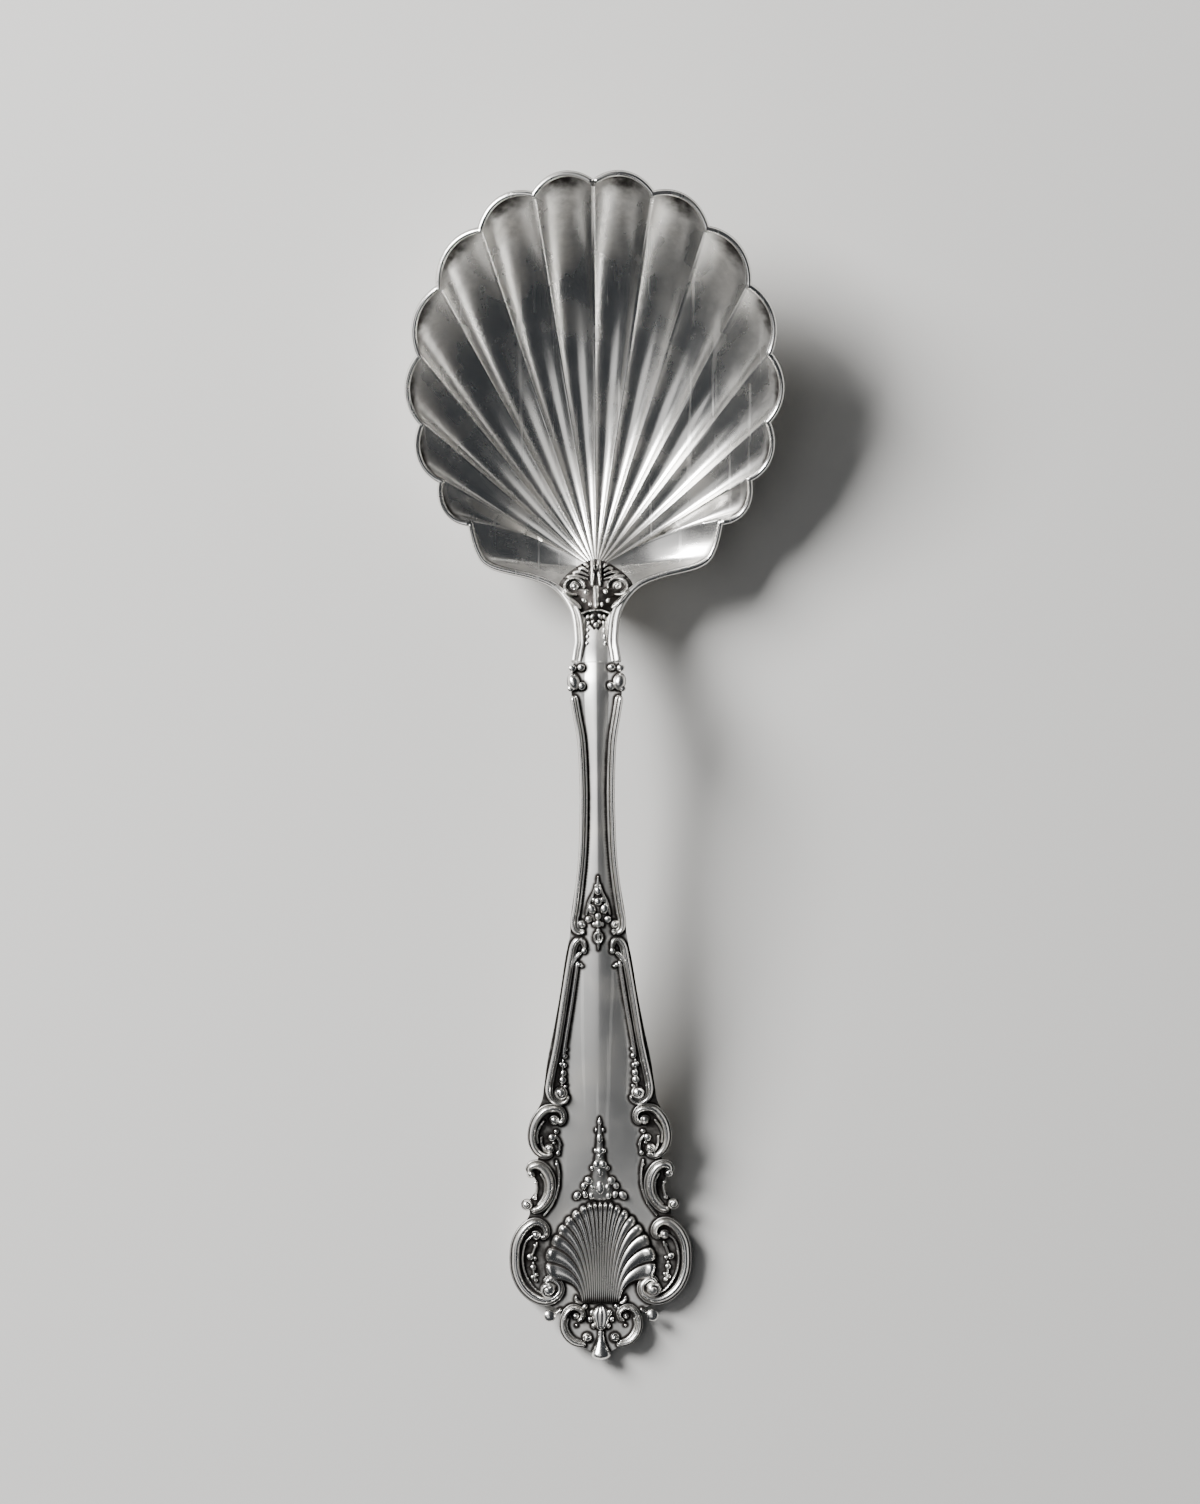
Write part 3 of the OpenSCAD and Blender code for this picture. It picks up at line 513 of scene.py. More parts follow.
@dataclass(frozen=True)
class SilverFinish:
    """Old polished silver with dark silver sulphide left in its recesses, and painted shade in its
    recesses and flutes.
    """

    name: str
    slot: Slot
    roughness: float
    bright: Colour = (0.93, 0.915, 0.885)
    warm: Colour = (0.78, 0.71, 0.6)
    dark: Colour = (0.035, 0.031, 0.029)
    satin: Colour = (0.82, 0.81, 0.785)
    satin_rough: float = 0.2
    satin_y: tuple[float, float] = (-100.0, -101.0)
    rough_spread: tuple[float, float] = (-0.04, 0.07)
    tarnish: float = 0.22
    streak: float = 0.5
    streak_scale: float = 5.0
    scratch: float = 0.5
    scratch_sets: Rows = ((0.5, 900.0), (1.9, 1300.0), (2.7, 700.0))
    patina_and_shade_from: float = 0.28
    patina_and_shade_to: float = 0.95
    patch_scale: float = 170.0
    cloud_scale: float = 900.0
    bump_share: float = 0.35
    bump_h: float = 0.012

    def material(self) -> bpy.types.Material:
        """Node material of the finish.

        Returns:
            The material, made once.
        """
        found = bpy.data.materials.get(self.name)
        if found:
            return found
        mat = bpy.data.materials.new(self.name)
        nodes = MaterialNodes(mat)
        # Patina and painted shade per point, read from the meshes' attribute.
        patina_and_shade = nodes.add("Attribute", attribute_name="patina_and_shade").outputs["Fac"]
        flow = nodes.add("Attribute", attribute_name="flow").outputs["Vector"]
        place = nodes.add("TexCoord").outputs["Object"]
        patches = nodes.noise(place, self.patch_scale, 5.0)
        cloud = nodes.noise(place, self.cloud_scale, 4.0)
        streaks = nodes.noise(flow, self.streak_scale, 3.0)
        scratches = self.scratches(nodes, place)

        uneven = nodes.math("MULTIPLY", nodes.math("MULTIPLY_ADD", cloud, 0.5, -0.25), patina_and_shade)
        patina_and_shade_share = nodes.math("ADD", patina_and_shade, uneven)
        patina_and_shade_share = nodes.soft_map(patina_and_shade_share, self.patina_and_shade_from, self.patina_and_shade_to, 0.0, 1.0)
        stain = nodes.soft_map(patches, 0.42, 0.75, 0.0, self.tarnish)
        along = nodes.add("SeparateXYZ", {"Vector": place}).outputs["Y"]
        satin = nodes.soft_map(along, self.satin_y[1] * MM, self.satin_y[0] * MM, 1.0, 0.0)
        colour = nodes.blend(satin, self.bright, self.satin)
        colour = nodes.blend(stain, colour, self.warm)
        # Blends toward the dark colour where the patina and painted shade lie.
        colour = nodes.blend(patina_and_shade_share, colour, self.dark)

        low, high = (self.roughness + spread for spread in self.rough_spread)
        rough = nodes.soft_map(patches, 0.3, 0.75, low, high)
        streaked = (streaks, 0.05 * self.streak)
        for layer, share in ((satin, self.satin_rough), (scratches, 0.08), streaked, (patina_and_shade_share, 0.3)):
            rough = nodes.math("MULTIPLY_ADD", layer, share, rough)

        height = nodes.math("MULTIPLY", streaks, self.streak)
        height = nodes.math("MULTIPLY_ADD", scratches, -self.scratch, height)
        height = nodes.math("MULTIPLY_ADD", cloud, 0.2, height)
        bump = {"Strength": self.bump_share, "Distance": self.bump_h * MM, "Height": height}
        normal = nodes.add("Bump", bump).outputs["Normal"]
        shader = {"Metallic": 1.0, "Base Color": colour, "Roughness": rough, "Normal": normal}
        surface = nodes.add("BsdfPrincipled", shader).outputs["BSDF"]
        nodes.add("OutputMaterial", {"Surface": surface})
        return mat

    def scratches(self, nodes: MaterialNodes, place: Socket) -> Socket:
        """Fine scratches of use, in sets with one direction each.

        Args:
            nodes: the material's nodes.
            place: texture place in metres.

        Returns:
            A socket that is 1 on a scratch.
        """
        total = None
        for turn, scale in self.scratch_sets:
            stretch = {"Rotation": (0.0, 0.0, turn), "Scale": (scale, scale * 0.03, scale * 0.05)}
            turned = nodes.add("Mapping", {"Vector": place, **stretch}).outputs["Vector"]
            line = nodes.soft_map(nodes.noise(turned, 1.0, 2.0), 0.66, 0.72, 0.0, 1.0)
            total = line if total is None else nodes.math("MAXIMUM", total, line)
        return total


BOWL_FINISH = SilverFinish(
    "worn_bowl_silver_with_painted_shade", Slot.BOWL, 0.22, satin_y=(24.5, 21.0), streak=1.2, streak_scale=4.0, scratch=0.0
)
PLATE_FINISH = SilverFinish(
    "worn_plate_silver_with_painted_shade", Slot.PLATE, 0.22, satin_y=(101.0, 100.0), tarnish=0.3, scratch=0.3,
    patina_and_shade_from=0.2, patina_and_shade_to=0.9,
)
ORNAMENT_FINISH = SilverFinish(
    "worn_ornament_silver_with_painted_shade", Slot.ORNAMENT, 0.25, streak=0.3, patina_and_shade_from=0.15, patina_and_shade_to=0.75
)


# Mesh building


class Sculpt:
    """Points, faces and per-point values of one piece."""

    def __init__(self) -> None:
        """Starts with nothing."""
        self.points: list[np.ndarray] = []
        self.patina_and_shade: list[np.ndarray] = []
        self.flow: list[np.ndarray] = []
        self.faces: list[list[int]] = []
        self.count = 0

    def grid(
        self,
        points: np.ndarray,
        patina_and_shade: np.ndarray,
        flow: np.ndarray | None = None,
        closed: bool = True,
    ) -> None:
        """Adds rows of points joined into faces.

        Args:
            points: points by row and column.
            patina_and_shade: patina and painted shade at each point, from 0 to 1.
            flow: place along the polishing marks at each point.
            closed: whether the last column joins the first, and both end rows are covered.
        """
        rows, cols = points.shape[:2]
        index = self.count + np.arange(rows * cols).reshape(rows, cols)
        here, after = (index, np.roll(index, -1, axis=1)) if closed else (index[:, :-1], index[:, 1:])
        quads = np.stack([here[:-1], after[:-1], after[1:], here[1:]], axis=-1)
        self.faces.extend(quads.reshape(-1, 4).tolist())
        flow = points if flow is None else flow
        self.points.append(points.reshape(-1, 3))
        self.patina_and_shade.append(patina_and_shade.reshape(-1))
        self.flow.append(flow.reshape(-1, 3))
        self.count += rows * cols
        for row in (0, rows - 1) if closed else ():
            self.points.append(points[row].mean(axis=0)[None])
            self.patina_and_shade.append(patina_and_shade[row].mean()[None])
            self.flow.append(flow[row].mean(axis=0)[None])
            ring = index[row].tolist()
            self.faces.extend([self.count, a, b] for a, b in zip(ring, [*ring[1:], ring[0]]))
            self.count += 1

    def mirrored(self) -> "Sculpt":
        """The same piece for the other side.

        Returns:
            A copy with x turned round.
        """
        other = Sculpt()
        other.points = [p * (-1, 1, 1) for p in self.points]
        other.patina_and_shade = list(self.patina_and_shade)
        other.flow = [f * (-1, 1, 1) for f in self.flow]
        other.faces = [face[::-1] for face in self.faces]
        other.count = self.count
        return other

    def outline_points(self) -> np.ndarray:
        """All points of the piece, and the points halfway between its rows.

        Returns:
            One row per point.
        """
        points = np.vstack(self.points)
        quads = np.array([face for face in self.faces if len(face) == 4])
        return np.vstack([points, (points[quads[:, 0]] + points[quads[:, 3]]) / 2])

    def build(self, name: str, finish: SilverFinish, node: str) -> None:
        """Makes the piece's object, dresses it and ties it to the frame.

        Args:
            name: the piece's name.
            finish: its finish.
            node: node of the construction that it replaces.
        """
        mesh = bpy.data.meshes.new(name)
        mesh.from_pydata((np.vstack(self.points) * MM).tolist(), [], self.faces)
        work = bmesh.new()
        work.from_mesh(mesh)
        bmesh.ops.recalc_face_normals(work, faces=work.faces)
        for face in work.faces:
            face.smooth = True
        work.to_mesh(mesh)
        work.free()
        # Patina and painted shade per point, which the material turns into darker colour.
        patina_and_shade = mesh.attributes.new("patina_and_shade", "FLOAT", "POINT")
        patina_and_shade.data.foreach_set("value", np.concatenate(self.patina_and_shade).astype(np.float32))
        flow = mesh.attributes.new("flow", "FLOAT_VECTOR", "POINT")
        flow.data.foreach_set("vector", np.vstack(self.flow).astype(np.float32).ravel())
        obj = bpy.data.objects.new(name, mesh)
        bpy.context.scene.collection.objects.link(obj)
        mesh.materials.append(finish.material())
        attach(obj, "root")
        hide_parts(node)
        LOG.info("%s: %d faces", name, len(mesh.polygons))

    def build_pair(self, name: str, finish: SilverFinish, node: str) -> list["Sculpt"]:
        """Makes the right side's object and its mirrored twin.

        Args:
            name: the pair's name.
            finish: its finish.
            node: name of the pair in the construction.

        Returns:
            The right and the left piece.
        """
        left = self.mirrored()
        self.build(name + "_right", finish, node + "_right")
        left.build(name + "_left", finish, node + "_left")
        return [self, left]


@dataclass(frozen=True)
class Section:
    """Shape across a band, which runs from its outer edge at -1 to 1.

    Each cord has its middle, its half width and its height, and they lie side by side.
    """

    cords: Rows
    samples: int = 24

    def across(self) -> np.ndarray:
        """Places across the band, closer together toward its edges."""
        return -np.cos(np.linspace(0, math.pi, self.samples + 1))

    def height(self, s: np.ndarray) -> np.ndarray:
        """Height share at places across.

        Args:
            s: the places.

        Returns:
            The shares.
        """
        total = np.zeros_like(s)
        for middle, half, high in self.cords:
            q = np.clip(1 - ((s - middle) / half) ** 2, 0, 1)
            total = np.maximum(total, high * q**0.62)
        return total


ROUND = Section(((0, 1, 1),), 16)
LOW_ROUND = Section(((0, 1, 0.5),))
RAIL = Section(((-0.32, 0.68, 1), (0.7, 0.3, 0.62)), 28)
SCROLL = Section(((-0.2, 0.8, 1), (0.8, 0.2, 0.42)), 26)
LEAF = Section(((-0.48, 0.52, 0.8), (0.48, 0.52, 0.8), (0, 0.22, 1)))
RIM = Section(((0.0, 1.0, 1.0),))
NECK_RIM = Section(((0.36, 0.64, 1.0), (-0.68, 0.32, 0.55)))


@dataclass
class Relief:
    """Ornament that is laid on a seat, gathered into one piece."""

    seat: Seat
    sculpt: Sculpt = field(default_factory=Sculpt)
    lift: float = 0.03
    sunk: float = 0.12
    bend_limit: float = 0.92
    least_half: float = 0.05
    streak_share: float = 0.1
    patina_and_shade_fall: float = 1.25
    patina_and_shade_power: float = 1.3
    bead_rings: tuple[float, float, int] = (118, 4, 12)
    bead_foot: float = 0.42
    groove_depth: float = 0.24
    groove_half: float = 0.1
    groove_reach: tuple[float, float] = (0.28, 0.86)

    def under(self, x: float, y: float) -> float:
        """Height of the seat under one place."""
        return float(self.seat(np.array([x]), np.array([y]))[0])

    def band(
        self,
        path: Rows,
        section: Section = ROUND,
        side: int = 1,
        steps: int = 8,
        taper: bool = True,
    ) -> None:
        """Lays a band along a path.

        Args:
            path: rows of x, y, half width and height.
            section: the shape across.
            side: 1 or -1, the side on which the section's outer edge lies.
            steps: samples between path points.
            taper: whether the ends are rounded.
        """
        line = spline(path, steps)
        xy, half, high = line[:, :2], line[:, 2].copy(), line[:, 3].copy()
        ahead = unit(np.gradient(xy, axis=0))
        right = np.stack([ahead[:, 1], -ahead[:, 0]], axis=1) * side
        length = np.concatenate([[0], np.cumsum(np.linalg.norm(np.diff(xy, axis=0), axis=1))])
        turn = np.abs(np.cross(np.gradient(ahead, axis=0), ahead))
        turn = turn / np.maximum(np.gradient(length), 1e-6)
        half = np.minimum(half, self.bend_limit / np.maximum(turn, 1e-6))
        if taper:
            for to_end in (length, length[-1] - length):
                full = np.clip(to_end / np.maximum(half, self.least_half), 0, 1)
                k = np.sqrt(np.clip(1 - (1 - full) ** 2, 0.02, 1))
                half, high = half * k, high * k
        s = section.across()
        share = section.height(s)
        x = xy[:, :1] + right[:, :1] * half[:, None] * s
        y = xy[:, 1:] + right[:, 1:] * half[:, None] * s
        z = self.seat(x, y) + self.lift + high[:, None] * share
        top = np.stack([x, y, z], axis=-1)
        low = top[:, [-1, 0]] - (0, 0, self.lift + self.sunk)
        # Patina and painted shade, heaviest on the band's low parts beside its seat.
        patina_and_shade = np.clip(1 - share * self.patina_and_shade_fall, 0, 1) ** self.patina_and_shade_power
        patina_and_shade = np.concatenate([np.broadcast_to(patina_and_shade, x.shape), np.ones((len(x), 2))], axis=1)
        run = np.broadcast_to(length[:, None] * self.streak_share, x.shape)
        flow = np.stack([half[:, None] * s, np.zeros_like(x), run], axis=-1)
        flow = np.concatenate([flow, flow[:, [-1, 0]]], axis=1)
        self.sculpt.grid(np.concatenate([top, low], axis=1), patina_and_shade, flow)

    def bead(
        self, x: float, y: float, r: float, stretch: float = 1, turn: float = 0, high: float = 1.3
    ) -> None:
        """Lays a bead.

        Args:
            x: place across.
            y: place along.
            r: radius.
            stretch: its length as a share of its width.
            turn: degrees that it is turned.
            high: height of its top as a share of the radius.
        """
        lat = np.radians(np.linspace(*self.bead_rings))[:, None]
        lon = np.radians(np.linspace(0, 360, 25)[:-1])[None]
        a, b = r * np.sin(lat) * np.cos(lon), r * stretch * np.sin(lat) * np.sin(lon)
        c, d = math.cos(math.radians(turn)), math.sin(math.radians(turn))
        rise = r * high
        z = self.under(x, y) + rise * self.bead_foot + rise * (1 - self.bead_foot) * np.cos(lat) + 0 * lon
        points = np.stack([x + a * c - b * d, y + a * d + b * c, z], axis=-1)
        # Patina and painted shade on the lower part of the bead, darker toward its foot.
        patina_and_shade = np.broadcast_to(ramp(-np.cos(lat), -0.35, 0.4), points.shape[:2])
        self.sculpt.grid(points, patina_and_shade)

    def beads(self, rows: Rows, side: int = 1, high: float = 1.3) -> None:
        """Lays beads on a side, from rows of x, y, radius, stretch and turn as on the right."""
        for x, y, r, stretch, turn in rows:
            self.bead(x * side, y, r, stretch, turn * side, high)

    def volute(
        self, x: float, y: float, r: float, turn: float = 0, side: int = 1, high: float = 1.35
    ) -> None:
        """Lays the round eye of a scroll, cut with a spiral groove.

        Args:
            x: place across.
            y: place along.
            r: radius.
            turn: degrees at which the groove starts.
            side: 1 or -1, the way that the groove winds.
            high: height as a share of the radius.
        """
        rho = np.sin(np.linspace(0.02, math.pi / 2, 26))[::-1, None]
        phi = np.linspace(0, 2 * math.pi, 49)[:-1][None]
        wound = np.mod(side * phi - math.radians(turn), 2 * math.pi) / (2 * math.pi)
        groove = np.exp(-(((rho - mix(*self.groove_reach, wound)) / self.groove_half) ** 2))
        groove = groove * ramp(wound, 0.0, 0.25)
        px, py = x + r * rho * np.cos(phi), y + r * rho * np.sin(phi)
        z = self.under(x, y) + self.lift + r * high * np.sqrt(1 - 0.985 * rho**2)
        points = np.stack([px, py, z - self.groove_depth * r * groove], axis=-1)
        skirt = points[:1] - (0, 0, self.sunk + 0.1)
        # Patina and painted shade round the eye's edge and in its spiral groove.
        patina_and_shade = np.clip(ramp(rho, 0.75, 1.05) * 0.8 + groove * 0.9, 0, 1)
        patina_and_shade = np.concatenate([np.ones((1, phi.shape[1])), patina_and_shade])
        self.sculpt.grid(np.concatenate([skirt, points]), patina_and_shade)


# Sub-assemblies


@dataclass
class Bowl:
    """The fluted shell bowl with its rim thread and neck threads."""

    shape: BowlShape
    lobe_steps: int = 24
    shoulder_steps: int = 12
    neck_steps: int = 40
    rings: int = 96
    ring_power: float = 1.35
    even_cols: int = 8
    least_level: float = 0.6
    back_share: float = 0.93
    edge_drop: tuple[float, float] = (0.35, 1.4)
    rim_h: float = 0.45
    neck_rim_share: float = 1.25
    rim_gap: float = 0.02
    neck_thread_w: float = 1.3
    panel_fade: tuple[float, float] = (19.5, 24.0)
    # Strengths of the patina and painted shade on the inner face; the flutes' share is painted shade
    # only.
    meet_patina_and_shade: float = 0.55
    meet_patina_and_shade_reach: float = 4.5
    rim_patina_and_shade: float = 0.34
    flute_painted_shade: tuple[float, float] = (0.12, 0.45)
    streak_turn: float = 24.0
    streak_out: float = 0.08

    def __post_init__(self) -> None:
        """Works out the outline and the inner face."""
        self.rim = self.shape.outline(self.lobe_steps, self.shoulder_steps, self.neck_steps)
        self.u = 1 - (1 - np.arange(1, self.rings + 1) / self.rings) ** self.ring_power
        self.face = self.shape.inner(self.rim, self.u, self.shape.flute_depth)
        self.face[..., 2] += self.neck_panel(self.face[..., 0], self.face[..., 1])
        index = np.arange(self.face[..., 0].size).reshape(self.face.shape[:2])
        after = np.roll(index, -1, axis=1)
        quads = np.stack([index[:-1], after[:-1], after[1:], index[1:]], axis=-1).reshape(-1, 4)
        self.tree = BVHTree.FromPolygons(self.face.reshape(-1, 3).tolist(), quads.tolist())
        LOG.info("bowl face: %d rings of %d", len(self.u), len(self.rim))

    def neck_panel(self, x: np.ndarray, y: np.ndarray) -> np.ndarray:
        """Rise of the roof-shaped panel on the neck, which runs out under the leaf."""
        rise = self.shape.handle.panel(x, np.minimum(y, self.shape.neck_y))
        return rise * (1 - ramp(y, *self.panel_fade))

    def seat(self, x: np.ndarray, y: np.ndarray) -> np.ndarray:
        """Height of the inner face under places.

        Args:
            x: places across.
            y: places along.

        Returns:
            The heights.
        """
        flat_x, flat_y = np.ravel(x), np.ravel(y)
        high = np.empty(len(flat_x))
        down = Vector((0, 0, -1))
        for i, (px, py) in enumerate(zip(flat_x, flat_y)):
            hit = self.tree.ray_cast(Vector((px, py, 40.0)), down)[0]
            high[i] = hit.z if hit else float(self.shape.rim_height(py))
        return high.reshape(np.shape(x))

    def build(self) -> None:
        """Builds the bowl's pieces."""
        self.shell().build("fluted_bowl", BOWL_FINISH, "bowl")
        self.rim_thread().build_pair("rim_bead", BOWL_FINISH, "rim_thread")
        ShellLeaf(self.seat).sculpted().build("shell_leaf", ORNAMENT_FINISH, "bowl_leaf")

    def back(self) -> np.ndarray:
        """Back of the bowl: the inner face moved down, so that its wall is even all over.

        Returns:
            Points in the order of the inner face.
        """
        shape = self.shape
        plain = shape.inner(self.rim, self.u, 0.0)
        across = np.roll(plain, -1, axis=1) - np.roll(plain, 1, axis=1)
        normal = np.cross(across, np.gradient(plain, axis=0))
        normal *= np.where(normal[..., 2:] > 0, 1, -1)
        evened = range(-self.even_cols, self.even_cols + 1)
        normal = unit(sum(np.roll(normal, step, axis=1) for step in evened))
        near = shape.near_neck(self.face[..., 1:2])
        normal = unit(mix(normal, np.array([0.0, 0.0, 1.0]), np.clip(2 * near, 0, 1)))
        thick = mix(shape.wall, float(shape.handle.thickness(shape.neck_y)), near)
        return self.face - (0, 0, 1) * thick / np.maximum(normal[..., 2:], self.least_level)

    def shell(self) -> Sculpt:
        """The wall of the bowl.

        Returns:
            The piece.
        """
        shape, rim = self.shape, self.rim
        edge = shape.edge(rim)
        drop = mix(*self.edge_drop, shape.near_neck(rim[:, 1])[:, None])
        under_edge = edge + (self.face[-1] - edge) * (0.12, 0.12, 0) - (0, 0, 1) * drop
        keep = slice(0, int(self.rings * self.back_share), 2)
        rows = np.concatenate([self.face, edge[None], under_edge[None], self.back()[keep][::-1]])
        ring_u = np.concatenate([self.u, [1, 1], self.u[keep][::-1]])[:, None]
        radial = ring_u * np.linalg.norm(rim[:, :2] - (0, shape.meet_y), axis=1)
        theta = np.arctan2(rim[:, 0], rim[:, 1] - shape.meet_y)
        around = [self.streak_turn * wave(theta) + 0 * ring_u for wave in (np.sin, np.cos)]
        flow = np.stack([*around, radial * self.streak_out], axis=-1)
        # Patina and painted shade round the flutes' meeting point under the leaf, and in a thin band
        # inside the rim.
        patina_and_shade = self.meet_patina_and_shade * np.exp(-((radial / self.meet_patina_and_shade_reach) ** 2))
        patina_and_shade = patina_and_shade + self.rim_patina_and_shade * ramp(ring_u, 0.955, 1.0)
        # Painted shade in the flutes, deepest in their outer halves, where it dims the pale floor's
        # reflection.
        flute_shade, outer_flute_shade = (share * rim[:, 2] for share in self.flute_painted_shade)
        patina_and_shade = patina_and_shade + flute_shade * ring_u + outer_flute_shade * ramp(ring_u, 0.42, 0.95)
        patina_and_shade[len(self.u) :] = 0.1
        sculpt = Sculpt()
        sculpt.grid(rows, np.clip(patina_and_shade, 0, 1), flow)
        return sculpt

    def rim_thread(self) -> Sculpt:
        """Half of the rim's bead, which widens into the neck's double thread.

        Returns:
            The piece for the right side.
        """
        shape = self.shape
        lobes = self.lobe_steps * (len(shape.ridge_angles) - 1)
        half_n = lobes + self.shoulder_steps * len(shape.shoulder_shares)
        inner = self.face[-1][: half_n + 1]
        outer = shape.edge(self.rim)[: half_n + 1]
        near = ramp(shape.near_neck(inner[:, 1]), 0.0, 0.6)[:, None]
        away = unit((outer - inner) * (1, 1, 0))
        wide = mix(shape.rim_w, self.neck_thread_w, near)
        inner = outer - away * wide + (0, 0, 1) * (inner - outer)[:, 2:]
        mid = (inner + outer) / 2
        across = unit(outer - inner)
        up = unit(np.cross(across, unit(np.gradient(mid, axis=0))))
        up = (up * np.where(up[:, 2:] > 0, 1, -1))[:, None]
        half = np.linalg.norm(outer - inner, axis=1)[:, None] / 2 * 0.98
        s = RIM.across()
        share = RIM.height(s) * (1 - near) + NECK_RIM.height(s) * near
        high = self.rim_h * mix(1.0, self.neck_rim_share, near) * share + self.rim_gap
        points = mid[:, None] + (across * half)[:, None] * s[:, None] + up * high[..., None]
        points = np.concatenate([points, points[:, [-1, 0]] - up * 0.2], axis=1)
        # Patina and painted shade on the bead's low flanks and underside.
        patina_and_shade = np.concatenate([np.clip(1 - 1.6 * share, 0, 1), np.full((len(mid), 2), 0.8)], axis=1)
        sculpt = Sculpt()
        sculpt.grid(points, patina_and_shade)
        return sculpt


@dataclass(frozen=True)
class ShellLeaf:
    """Leaf over the point where the flutes meet, with its ribs, scrolls and husk beads."""

    seat: Seat
    middle_y: float = 23.6
    ground_rise: float = 0.08
    ground_patina_and_shade: float = 0.7
    outline: Rows = (
        (0.0, 27.4), (1.5, 26.95), (3.0, 26.0), (4.1, 25.0), (4.7, 23.9), (3.85, 22.6),
        (2.6, 21.3), (1.9, 20.4), (1.0, 19.0), (0.3, 18.1),
    )
    keel: Rows = ((0, 24.1, 0.5, 0.85), (0, 23.0, 0.6, 0.95), (0, 21.9, 0.48, 0.9), (0, 20.9, 0.3, 0.7))
    tip_bead: tuple[float, float, float] = (0, 18.75, 0.34)
    rib: Rows = ((0.42, 27.3, 0.26), (0.4, 26.2, 0.34), (0.46, 24.9, 0.34), (0.5, 23.7, 0.22))
    strokes: int = 4
    stroke_step: float = 0.5
    stroke_in: float = 0.75
    eye: tuple[float, float] = (2.75, 23.75)
    eye_r: float = 0.72
    eye_turn: float = 40.0
    ring_half: tuple[float, float] = (1.2, 1.02)
    ring_turns: tuple[float, float] = (200.0, -110.0)
    edge: Rows = ((4.3, 23.2, 0.2), (3.5, 22.3, 0.34), (2.6, 21.5, 0.36), (1.9, 20.9, 0.2))
    husks: Rows = (
        (1.3, 22.9, 0.36, 1.6, 20), (1.55, 21.9, 0.3, 1.3, -30), (0.8, 21.35, 0.28, 1.5, 10),
        (0.5, 19.85, 0.24, 1.7, 30), (1.1, 19.75, 0.24, 1.7, 25), (0.42, 19.15, 0.2, 1.4, 30),
    )
    tie: Rows = ((0, 20.65, 0.16, 0.75), (0.9, 20.6, 0.16, 0.75), (1.95, 20.2, 0.14, 0.6))
    drops: int = 4
    drop_step: float = 0.85

    def sculpted(self) -> Sculpt:
        """The leaf with all that lies on it.

        Returns:
            The piece.
        """
        relief = Relief(self.seat)
        self.ground(relief)
        relief.band(self.keel)
        relief.bead(*self.tip_bead)
        for side in (1, -1):
            relief.band(on_side(self.rib, side, 1.0))
            for k in range(self.strokes):
                relief.band(on_side(self.stroke(k), side))
            relief.band(on_side(self.ring(), side, 0.27, 0.95), SCROLL, side)
            relief.volute(self.eye[0] * side, self.eye[1], self.eye_r, self.eye_turn, side, high=1.6)
            relief.band(on_side(self.edge, side, 0.85))
            relief.beads(self.husks, side, high=2.0)
            relief.band(on_side(self.tie, side))
            for k in range(self.drops):
                place = ((1.0 + 0.06 * k) * side, 18.9 - self.drop_step * k)
                relief.bead(*place, 0.2, 2.0 - 0.1 * k, 12 * side)
        return relief.sculpt

    def stroke(self, k: int) -> Rows:
        """Side rib of the leaf, from its keel outward.

        Args:
            k: its number, counted from the neck.

        Returns:
            Rows of x, y, half width and height.
        """
        rise = self.stroke_step * k
        far_x, far_y = 3.75 - self.stroke_in * k, 25.25 + rise
        bend = (mix(0.95, far_x, 0.55), mix(24.9 + rise, far_y, 0.75), 0.24, 0.85)
        return ((0.95, 24.7 + rise, 0.14, 0.6), bend, (far_x, far_y - 0.25, 0.22, 0.6))

    def ring(self) -> Rows:
        """Ring of the scroll round its eye.

        Returns:
            Rows of x and y.
        """
        turns = np.radians(np.linspace(*self.ring_turns, 9))
        (x, y), (a, b) = self.eye, self.ring_half
        return [(x + a * math.cos(turn), y + b * math.sin(turn)) for turn in turns]

    def ground(self, relief: Relief) -> None:
        """Dark domed ground under the leaf's relief, with patina and painted shade.

        Args:
            relief: where it is laid.
        """
        side = spline(self.outline, 6)
        full = np.vstack([side, side[::-1] * (-1, 1)])
        middle = np.array([0, self.middle_y])
        rho = np.linspace(1, 0.02, 14)
        rows = middle + (full - middle) * rho[:, None, None]
        rise = self.ground_rise * np.sqrt(np.clip(1 - rho**2, 0, 1))[:, None]
        z = self.seat(rows[..., 0], rows[..., 1]) + rise + 0.02
        points = np.concatenate([rows, z[..., None]], axis=-1)
        relief.sculpt.grid(points, np.full(points.shape[:2], self.ground_patina_and_shade))


